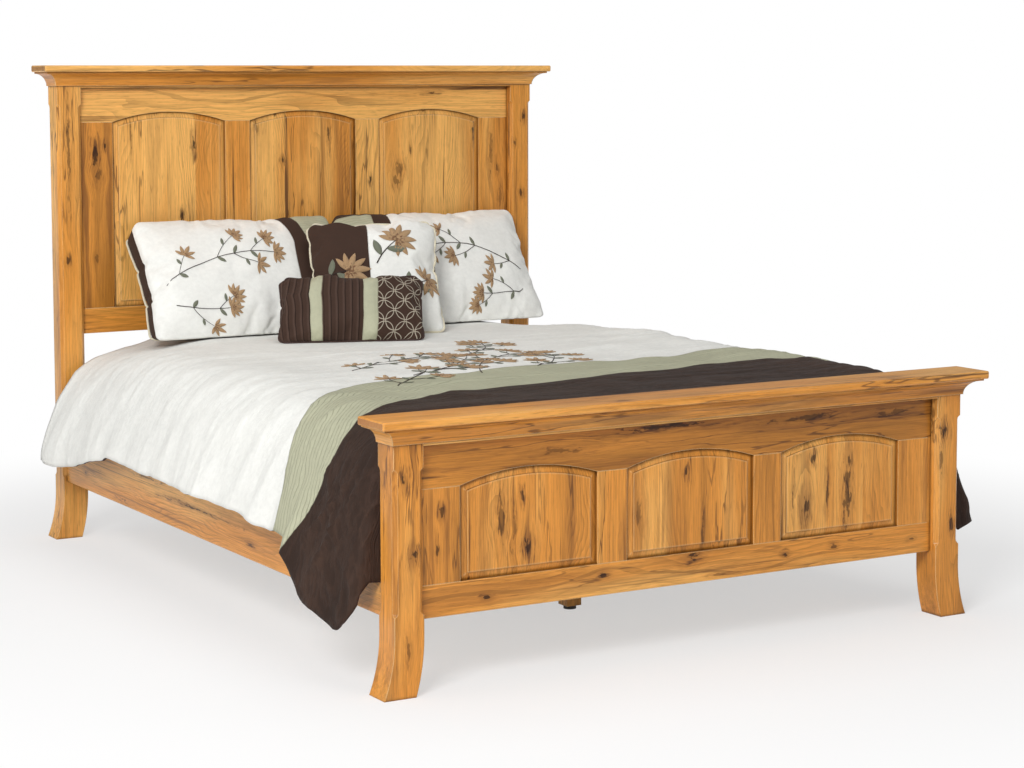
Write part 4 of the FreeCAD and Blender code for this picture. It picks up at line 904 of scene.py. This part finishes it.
def settle(points, u, v, front, height):
    """Lets a standing cushion down until the lower edges of its two panels rest on the bed."""
    made = points.copy()
    lines = np.round(u, 5)
    for line in np.unique(lines):
        for panel in (front, ~front):
            row = (lines == line) & panel
            gap = points[row, 2].min() - RESTS
            made[row, 2] -= gap * np.clip(0.5 - v[row] / height, 0, 1) ** 1.7
    made[:, 2] = np.maximum(made[:, 2], RESTS)
    return made


def faces_of(obj):
    """A search tree of a mesh's faces."""
    return BVHTree.FromPolygons([v.co for v in obj.data.vertices], [p.vertices for p in obj.data.polygons])


def clear_of(points, faces, gap):
    """Moves the points that lie inside a neighbour out to its face."""
    for index, point in enumerate(points):
        spot, normal, _, _ = faces.find_nearest(Vector(point), 0.15)
        if spot is not None and (Vector(point) - spot).dot(normal) < gap:
            points[index] = spot + normal * gap
    return points


def seam_loop(bag, on_seam):
    """The numbers of a seam's points, in order round the bag."""
    beside = {index: [] for index in on_seam}
    for edge in bag.data.edges:
        a, b = edge.vertices
        if a in beside and b in beside:
            beside[a].append(b)
            beside[b].append(a)
    first = min(beside)
    loop, last, now = [], None, first
    while now != first or last is None:
        loop.append(now)
        onward = [n for n in beside[now] if n != last]
        last, now = now, onward[0]
    return loop


def piped(name, loop, radius, material, body):
    """A piped seam: a thin round cord along a closed loop of points."""
    line = bpy.data.curves.new(name, "CURVE")
    line.dimensions = "3D"
    line.bevel_depth = radius
    line.bevel_resolution = 2
    line.resolution_u = 3
    spline = line.splines.new("NURBS")
    spline.points.add(len(loop) - 1)
    spline.points.foreach_set("co", np.hstack([loop, np.ones((len(loop), 1))]).ravel())
    spline.use_cyclic_u = True
    obj = bpy.data.objects.new(name, line)
    bpy.context.collection.objects.link(obj)
    only(obj)
    bpy.ops.object.convert(target="MESH")
    obj = bpy.context.object
    obj.data.materials.append(material)
    smooth(obj)
    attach(obj, body)


def make_cushion(name, size, centre, turn, bag_of, cord, cloths, seams, seed, pleats=None, back=PAST,
                 behind=(), shear=0.0):
    """One cushion: sewn flat, filled, set in its place, seamed and piped. turn is its yaw and lean in degrees,
    bag_of the bag's depth and its meshes across and up, cord the seam's panel, radius and cloth. Gives its
    object and the grid of points of its front panel, with the panel's half sizes."""
    width, height, thick = size
    deep, across, up = bag_of
    body = name + "_body"
    bag, flat = sewn_bag(name + "_pillow", width * CUT, height * CUT, deep, across, up)
    u, v, front = flat[:, 0] / CUT, flat[:, 1] / CUT, flat[:, 2] > 0
    carry(bag, "flat_u", u)
    carry(bag, "flat_v", v)
    start = round_corners(flat, width * CUT, height * CUT, CUT_CORNER)
    start[:, 2] += np.where(front, 0.003, -0.003) * (1 + drift(u, v, 0.10, 0.08, 81))
    set_points(bag, start)
    fill_bag(bag)
    points = points_of(bag)
    low, high = points.min(axis=0), points.max(axis=0)
    points = (points - (low + high) / 2) * np.array([width, height, thick]) / (high - low)
    points = puckers(let_out(points, u, v, width, height), u, v, front, width, height, seams, seed)
    if pleats:
        points = pleats(points, u, v, front)
    points[:, 0] += shear * points[:, 1]
    set_points(bag, points)
    yaw, lean = (math.radians(angle) for angle in turn)
    bag.data.transform(Matrix.Translation(centre) @ Matrix.Rotation(yaw, 4, "Z") @ Matrix.Rotation(lean, 4, "X"))
    points = settle(points_of(bag), u, v, front, height)
    points[:, 1] = np.minimum(points[:, 1], back)
    for neighbour in behind:
        points = clear_of(points, neighbour, 0.001)
    set_points(bag, points)
    rim = (np.abs(np.abs(u) - width / 2) < 1e-5) | (np.abs(np.abs(v) - height / 2) < 1e-5)
    at_front, radius, cord_cloth = cord
    loop = seam_loop(bag, np.flatnonzero(rim & (front == at_front)).tolist())
    piped(name + "_piping_1", points[loop], radius, cord_cloth, body)
    for finish in cloths:
        bag.data.materials.append(finish)
    for face in bag.data.polygons:
        face.material_index = 0 if all(front[n] for n in face.vertices) else 1
    panel = np.flatnonzero(front)
    panel = panel[np.lexsort((u[panel].round(5), v[panel].round(5)))]
    grid = points[panel].reshape(up + 1, across + 1, 3)
    finish_with(bag, "SUBSURF", levels=1, render_levels=1)
    smooth(bag)
    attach(bag, body)
    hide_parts(name)
    return bag, (grid, width / 2, height / 2)


def fields(edges, stitched=(), brim=None):
    """A front sewn from upright fields: (edge, colour) from the left, each colour up to its edge. stitched
    are the numbers of the fields with ripple stitching, brim the (level, slope) of a dark upper border."""
    def colour_of(tree, place):
        u, v = read(tree, "flat_u"), read(tree, "flat_v")
        colour, seam, quilted = edges[0][1], 0.0, 0.0
        for (edge, _), (_, after) in zip(edges, edges[1:]):
            colour = over(u > edge, colour, after)
            seam = calc("MAXIMUM", seam, ridge(u - edge, 0.003))
        for number in stitched:
            left = edges[number - 1][0] if number else -PAST
            quilted = between(u, left, edges[number][0]) + quilted
        stitch = ripple(place, v, 0.012, 15.0, 2.2, 0.16) * quilted
        if brim:
            rise = v - (u * brim[1] + brim[0])
            colour = over(rise > 0.0, colour, COCOA)
            seam = calc("MAXIMUM", seam, ridge(rise, 0.003))
        colour = over(stitch * 0.30, colour, tint(120, 122, 96))
        colour = over(seam * 0.40, colour, tint(80, 66, 58))
        return colour, stitch * -1.4 + seam * -1.2
    return colour_of


def ringed(edges, start, pleats):
    """Upright fields, with a pale lattice of linked rings past a line, and painted shade and highlight on the
    folds of the pleats in some fields.
    """
    base = fields(edges)

    def colour_of(tree, place):
        colour, height = base(tree, place)
        u, v = read(tree, "flat_u"), read(tree, "flat_v")
        rings, folded = 0.0, 0.0
        for offset in (10.0, 10.5):
            a, b = (calc("FRACT", w / RING_CELL + offset) - 0.5 for w in (u, v))
            rings = calc("MAXIMUM", rings, ridge(calc("SQRT", a ** 2.0 + b ** 2.0) - 0.455, 0.026, 0.008))
        rings = rings * (u > start)
        fold = calc("FRACT", (u + PAST) / PLEAT)
        for left, right in pleats:
            folded = between(u, left, right) + folded
        # Painted shade on each pleat's underfold and a painted highlight on its face.
        dark = span(fold, 0.80, 0.93) * folded
        lit = span(fold, 0.45, 0.74) * (folded - dark)
        colour = over(dark * 0.70, colour, tint(34, 25, 22))
        colour = over(lit * 0.30, colour, tint(112, 90, 80))
        return over(rings * 0.85, colour, tint(196, 186, 168)), height + rings * 0.8
    return colour_of


def make_cushions():
    """The two shams against the headboard, the square cushion before them and the oblong one before that."""
    pale_cord = cloth("piping_cotton", plain(PIPING), roughness=0.75)
    dark_cord = cloth("cocoa_piping", plain(tint(74, 58, 54)), roughness=0.75)
    cocoa = cloth("cocoa_cotton", plain(COCOA), roughness=0.78)
    made = {}
    inner, outer = SHAM_SEAMS
    fronts = {"left": fields([(inner, WHITE), (outer, COCOA), (PAST, SAGE)], (2,)),
              "right": fields([(-outer, SAGE), (-inner, COCOA), (PAST, WHITE)], (0,), (0.2047, 0.05))}
    for side, sign in (("left", -1), ("right", 1)):
        front = cloth(f"sham_{side}_cotton", fronts[side])
        made["sham_" + side] = make_cushion(
            "sham_" + side, SHAM, (0.049 + sign * 0.338, 0.934, 0.781), (0, 48), (0.120, 72, 48),
            (False, 0.0036, pale_cord), (front, cocoa), (-sign * inner, -sign * outer), 40 + sign,
            back=1.0975, shear=0.07)
    shams = [faces_of(made["sham_left"][0]), faces_of(made["sham_right"][0])]
    front = cloth("square_cushion_cotton", fields([(SQUARE_SEAM, COCOA), (PAST, WHITE)]))
    made["square_cushion"] = make_cushion(
        "square_cushion", SQUARE, (0.068, 0.738, 0.782), (-20, 55), (0.006, 44, 44),
        (True, 0.0036, pale_cord), (front, cocoa), (SQUARE_SEAM,), 51, behind=shams)
    edges = list(zip(OBLONG_SEAMS + (PAST,), (COCOA, SAGE, COCOA, SAGE, COCOA)))
    first, second, third, last = OBLONG_SEAMS
    front = cloth("oblong_cushion_cotton", ringed(edges, last, ((-PAST, first), (second, third))))
    made["oblong_cushion"] = make_cushion(
        "oblong_cushion", OBLONG, (-0.102, 0.562, 0.706), (-20, 45), (0.006, 110, 40),
        (True, 0.0030, dark_cord), (front, cocoa), OBLONG_SEAMS, 61, pleats=pleated,
        behind=[faces_of(made["square_cushion"][0])] + shams, shear=0.08)
    return made


# ---------------------------------------------------------------- embroidery

TAN_THREAD, LEAF_THREAD, STEM_THREAD, RUST_THREAD = range(4)
STEM_STEPS = 15


def leaf_pattern():
    """One leaf, modelled flat: a short grid drawn to a point at both ends."""
    only()
    bpy.ops.mesh.primitive_grid_add(x_subdivisions=8, y_subdivisions=2, size=1)
    leaf = bpy.context.object
    points = points_of(leaf)
    points[:, 1] *= np.sin(np.pi * (points[:, 0] + 0.5)) ** 0.8
    shape = points[:, :2].copy(), [list(p.vertices) for p in leaf.data.polygons]
    bpy.data.objects.remove(leaf)
    return shape


LEAF_SHAPE = leaf_pattern()


class Needlework:
    """Flat pieces of embroidery in thread, kept as (points, faces, thread)."""

    def __init__(self, scale):
        self.scale = scale
        self.pieces = []

    def stem(self, root, heading, length, bow, wide=0.0022):
        """A bowed stem. Gives the places along it and its headings there."""
        last = STEM_STEPS - 1
        turn = heading + bow * np.linspace(0, 1, STEM_STEPS)
        steps = np.stack([np.cos(turn), np.sin(turn)], axis=1) * length * self.scale / last
        line = np.cumsum(steps, axis=0) + np.array(root) - steps[0]
        sides = np.stack([-np.sin(turn), np.cos(turn)], axis=1)
        sides = sides * (wide / 2 * self.scale * np.linspace(1.0, 0.55, STEM_STEPS))[:, None]
        ribbon = np.concatenate([line + sides, line - sides])
        faces = [[n, n + STEM_STEPS, n + STEM_STEPS + 1, n + 1] for n in range(last)]
        self.pieces.append((ribbon, faces, STEM_THREAD))
        return line, turn

    def leaf(self, root, heading, long, wide, thread):
        """One leaf, from its root outwards."""
        flat, faces = LEAF_SHAPE
        grown = flat * np.array([long, wide]) * self.scale + np.array([long / 2 * self.scale, 0])
        turned = np.stack([grown[:, 0] * math.cos(heading) - grown[:, 1] * math.sin(heading),
                           grown[:, 0] * math.sin(heading) + grown[:, 1] * math.cos(heading)], axis=1)
        self.pieces.append((turned + np.array(root), faces, thread))

    def fan(self, root, heading, blades=7, long=0.043, spread=2.9):
        """A fan of slender tan blades, the outer ones shorter, each with a rust streak from its root."""
        for n in range(blades):
            aside = n / (blades - 1) - 0.5
            reach = long * (1.0 - 0.45 * abs(aside))
            self.leaf(root, heading + spread * aside, reach, reach * 0.30, TAN_THREAD)
            self.leaf(root, heading + spread * aside, reach * 0.45, reach * 0.12, RUST_THREAD)

    def branch(self, root, heading, length, bow, twigs):
        """A branch with twigs, (share, turn, length), each with two leaves and a fan at its end."""
        line, turn = self.stem(root, heading, length, bow)
        for number, (share, aside, long) in enumerate(twigs):
            here_on = int(round(share * (STEM_STEPS - 1)))
            ends, ways = self.stem(line[here_on], turn[here_on] + aside, long, -0.5 * aside, 0.0017)
            self.fan(ends[-1], ways[-1], 5 + 2 * (number % 2))
            self.leaf(line[here_on], turn[here_on] - 0.9 * np.sign(aside), 0.030, 0.011, LEAF_THREAD)
            self.leaf(ends[7], ways[7] + 0.8 * np.sign(aside), 0.024, 0.009, LEAF_THREAD)
        self.fan(line[-1], turn[-1])


def sew_on(name, pieces, surface, finishes, body, lift=0.0020):
    """Lays flat embroidered pieces on a surface, as one thin piece of work."""
    spots, faces, finish_of = [], [], []
    for flat, drawn, finish in pieces:
        first = sum(len(s) for s in spots)
        spots.append(flat)
        faces += [[first + n for n in face] for face in drawn]
        finish_of += [finish] * len(drawn)
    flat = np.concatenate(spots)
    points, normals = surface(flat)
    mesh = bpy.data.meshes.new(name)
    mesh.from_pydata((points + normals * lift).tolist(), [], faces)
    work = bpy.data.objects.new(name, mesh)
    bpy.context.collection.objects.link(work)
    for finish in finishes:
        mesh.materials.append(finish)
    mesh.polygons.foreach_set("material_index", finish_of)
    carry(work, "flat_u", flat[:, 0])
    carry(work, "flat_v", flat[:, 1])
    finish_with(work, "SOLIDIFY", thickness=0.0010, offset=-1.0)
    smooth(work)
    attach(work, body)


def panel_surface(panel):
    """Points and normals of a cushion's front, for places on its flat panel."""
    grid, half_u, half_v = panel
    rows, columns = grid.shape[:2]
    normal = np.cross(np.gradient(grid, axis=1), np.gradient(grid, axis=0))
    normal /= np.linalg.norm(normal, axis=2, keepdims=True)

    def surface(flat):
        a = np.clip((flat[:, 0] / half_u + 1) / 2 * (columns - 1), 0, columns - 1.001)
        b = np.clip((flat[:, 1] / half_v + 1) / 2 * (rows - 1), 0, rows - 1.001)
        i, j = a.astype(int), b.astype(int)
        s, t = (a - i)[:, None], (b - j)[:, None]
        return [(g[j, i] * (1 - s) + g[j, i + 1] * s) * (1 - t)
                + (g[j + 1, i] * (1 - s) + g[j + 1, i + 1] * s) * t for g in (grid, normal)]
    return surface


def bed_surface(flat):
    """Points and normals on the comforter's top, for places across and along it."""
    def at(s, t):
        ahead = (t - FOOT_TURN) / (HEAD_END - FOOT_TURN)
        row = FOOT_ROWS + TURN_ROWS + ahead * (1 - FOOT_ROWS - TURN_ROWS)
        return comforter_sheet(s / half_width(s, t), row)[0]
    s, t = flat[:, 0], flat[:, 1]
    normal = np.cross(at(s + 0.004, t) - at(s - 0.004, t), at(s, t + 0.004) - at(s, t - 0.004))
    return at(s, t), normal / np.linalg.norm(normal, axis=1, keepdims=True)


def satin(colour):
    """Embroidery thread of one dye, laid in slanting satin stitches."""
    def colour_of(tree, place):
        u, v = read(tree, "flat_u"), read(tree, "flat_v")
        line = calc("SINE", (u + v * 0.4) * 2600.0)
        return over(span(line, -1.0, 1.0, 0.0, 0.35), colour, darker(colour, 0.6)), line * 0.4
    return colour_of


def embroider(made):
    """Sprays of leaves and fans in tan, rust and grey-green thread."""
    finishes = [cloth(name, satin(colour), sheen=0.1, roughness=0.65) for name, colour in (
        ("tan_thread", TAN), ("leaf_thread", LEAF), ("stem_thread", STEM), ("rust_thread", RUST))]
    twigs = [(0.16, 0.9, 0.070), (0.32, -0.9, 0.085), (0.48, 0.8, 0.095), (0.64, -0.8, 0.080), (0.82, 0.8, 0.065)]
    for side, sign in (("left", 1), ("right", -1)):
        work = Needlework(0.92)
        heading = 0.62 if side == "left" else math.pi - 0.62
        work.branch((sign * -0.265, -0.05), heading, 0.385, -0.75 * sign, twigs[:1] + twigs[2:])
        work.branch((sign * -0.25, -0.11), heading - sign * 0.85, 0.17, 0.3 * sign, [twigs[1], twigs[4]])
        sew_on(f"sham_{side}_embroidery", work.pieces, panel_surface(made["sham_" + side][1]), finishes,
               f"sham_{side}_body")
    work = Needlework(1.5)
    for root, heading, length in (((-0.15, -0.03), 0.55, 0.050), ((0.00, 0.01), 1.15, 0.060),
                                  ((0.06, -0.08), 0.75, 0.060)):
        line, turn = work.stem(root, heading, length, -0.5)
        work.leaf(line[4], turn[4] + 0.9, 0.034, 0.013, LEAF_THREAD)
        work.leaf(line[8], turn[8] - 0.9, 0.034, 0.013, LEAF_THREAD)
        work.fan(line[-1], turn[-1], 9, 0.042, 4.4)
    sew_on("square_cushion_embroidery", work.pieces, panel_surface(made["square_cushion"][1]), finishes,
           "square_cushion_body")
    work = Needlework(1.15)
    for root, heading, length, bow in (((-0.47, -0.44), 1.00, 0.44, -0.7), ((-0.34, -0.28), 0.35, 0.38, 0.7),
                                       ((-0.16, -0.33), 1.25, 0.46, -0.9), ((0.03, -0.30), 0.55, 0.32, 0.8),
                                       ((-0.44, -0.12), 0.75, 0.36, -0.6), ((-0.02, 0.02), 0.45, 0.30, 0.9)):
        work.branch(root, heading, length, bow, twigs)
    sew_on("comforter_embroidery", work.pieces, bed_surface, finishes, "mattress_set")


# ---------------------------------------------------------------- mattress and foundation

TUFTS = 0.19                        # from one tuft of the ticking to the next


def ticking(tree, place):
    """Cream ticking with a narrow grey-blue stripe."""
    stripe = calc("FRACT", parts(place)[0] / 0.034)
    band = calc("MAXIMUM", calc("COMPARE", stripe, 0.30, 0.05), calc("COMPARE", stripe, 0.46, 0.02))
    return over(band, tint(229, 224, 210), tint(150, 158, 168)), None


def padded_block(name, node, rounding, swell, body, finish, corner_dip=0.0):
    """A padded block in a CAD node's place: its edges rounded, its sides swelling between taped seams, and
    its corners at the head pressed down."""
    low, high = (np.array(corner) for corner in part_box(node))
    middle, size = (low + high) / 2, high - low - 2 * swell
    only()
    bpy.ops.mesh.primitive_cube_add(size=1)
    block = bpy.context.object
    block.name = block.data.name = name
    bpy.ops.object.mode_set(mode="EDIT")
    bpy.ops.mesh.select_all(action="SELECT")
    bpy.ops.transform.resize(value=tuple(size))
    bpy.ops.transform.translate(value=tuple(middle))
    bpy.ops.mesh.bevel(offset=rounding, segments=5, affect="EDGES", profile=0.5)
    bpy.ops.mesh.select_all(action="SELECT")
    bpy.ops.mesh.subdivide(number_cuts=11)
    bpy.ops.mesh.remove_doubles(threshold=0.0002)
    bpy.ops.mesh.normals_make_consistent(inside=False)
    bpy.ops.object.mode_set(mode="OBJECT")
    points = points_of(block)
    share = (points - middle) / (size / 2)
    for axis in (0, 1):
        others = 1 - np.abs(share[:, 2]) ** 4
        points[:, axis] += np.sign(share[:, axis]) * swell * others * ease(np.abs(share[:, axis]), 0.9, 1.0)
    tufts = np.cos(points[:, 0] * 2 * math.pi / TUFTS) * np.cos(points[:, 1] * 2 * math.pi / TUFTS)
    points[:, 2] += np.sign(share[:, 2]) * swell * (0.3 * tufts) * ease(np.abs(share[:, 2]), 0.95, 1.0)
    pressed = ease(np.abs(points[:, 0]), 0.44, 0.62) * ease(points[:, 1], 0.50, 0.98)
    points[:, 2] -= corner_dip * pressed * ease(share[:, 2], 0.2, 1.0)
    points[:, 2] = np.clip(points[:, 2], low[2], high[2])
    set_points(block, points)
    block.data.materials.append(finish)
    smooth(block)
    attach(block, body)
    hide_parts(node)


def make_mattress():
    """The mattress and the foundation under it."""
    finish = cloth("ticking_cotton", ticking)
    padded_block("mattress_block", "mattress", 0.080, 0.004, "mattress_set", finish, 0.045)
    padded_block("foundation_block", "foundation", 0.018, 0.002, "frame", finish)


# ---------------------------------------------------------------- stage, light and camera

def lay_floor():
    """A pale floor that takes the shadow and fades to white away from the bed."""
    only()
    bpy.ops.mesh.primitive_plane_add(size=60)
    floor = bpy.context.object
    floor.name = "studio_floor"
    material, tree, shader = new_material("studio_floor")
    feed(shader, {"Base Color": (0.93, 0.93, 0.93, 1), "Roughness": 0.95, "Specular IOR Level": 0.0})
    reach = wire(tree, "ShaderNodeVectorMath", {0: here(tree)}, "Value", operation="LENGTH")
    glow = wire(tree, "ShaderNodeEmission", {"Color": (1, 1, 1, 1), "Strength": 1.0})
    camera_ray, glossy_ray = (wire(tree, "ShaderNodeLightPath", out=f"Is {kind} Ray")
                              for kind in ("Camera", "Glossy"))
    share = span(reach, 1.4, 2.8, 0.55, 1.0) * calc("MAXIMUM", camera_ray, glossy_ray)
    mixed = wire(tree, "ShaderNodeMixShader", {0: share, 1: Strand(tree, shader.outputs[0]), 2: glow})
    feed(tree.nodes["Material Output"], {"Surface": mixed})
    floor.data.materials.append(material)


def hang_lamp(name, place, aim, size, power):
    """A large soft lamp."""
    lamp = bpy.data.lights.new(name, "AREA")
    lamp.shape = "SQUARE"
    lamp.size = size
    lamp.energy = power
    obj = bpy.data.objects.new(name, lamp)
    obj.location = place
    obj.rotation_euler = (Vector(aim) - Vector(place)).to_track_quat("-Z", "Y").to_euler()
    bpy.context.collection.objects.link(obj)


def light_studio():
    """Soft light from the front left, a weaker fill, an overhead and an even surround."""
    hang_lamp("key_lamp", (-4.4, -4.2, 3.8), (0, 0, 0.6), 2.2, 280)
    hang_lamp("side_lamp", (-6.0, 0.8, 2.0), (0, 0, 0.5), 3.0, 42)
    hang_lamp("fill_lamp", (1.5, -6.5, 2.5), (0, 0, 0.6), 3.0, 20)
    hang_lamp("top_lamp", (0, -0.2, 5.0), (0, 0.3, 0), 4.0, 60)
    world = bpy.data.worlds.new("studio")
    world.use_nodes = True
    tree = world.node_tree
    tree.nodes.clear()
    around, behind = (wire(tree, "ShaderNodeBackground", {0: (1, 1, 1, 1), 1: strength})
                      for strength in (0.28, 1.0))
    seen = wire(tree, "ShaderNodeLightPath", out="Is Camera Ray")
    mixed = wire(tree, "ShaderNodeMixShader", {0: seen, 1: around, 2: behind})
    add_node(tree, "ShaderNodeOutputWorld", {0: mixed})
    bpy.context.scene.world = world
    bpy.context.scene.view_settings.view_transform = "Standard"


def set_camera():
    """The camera where the photographer stood."""
    camera = bpy.data.cameras.new("camera")
    camera.sensor_width, camera.lens, camera.shift_y = 36.0, 82.44, -0.10
    camera.clip_end = 100
    yaw, pitch, roll = 0.53046, -0.08744, -0.00233
    ahead, up = Vector((math.sin(yaw), math.cos(yaw), 0)), Vector((0, 0, 1))
    right = Vector((math.cos(yaw), -math.sin(yaw), 0))
    look = ahead * math.cos(pitch) + up * math.sin(pitch)
    rise = up * math.cos(pitch) - ahead * math.sin(pitch)
    side = right * math.cos(roll) + rise * math.sin(roll)
    rise = rise * math.cos(roll) - right * math.sin(roll)
    obj = bpy.data.objects.new("camera", camera)
    turn = Matrix((side, rise, -look)).transposed().to_4x4()
    obj.matrix_world = Matrix.Translation((-3.2183, -5.7013, 1.4021)) @ turn
    bpy.context.collection.objects.link(obj)
    bpy.context.scene.camera = obj


finish_woodwork()
finish_hardware()
comforter = make_comforter()
make_mattress()
embroider(make_cushions())
lay_floor()
light_studio()
set_camera()
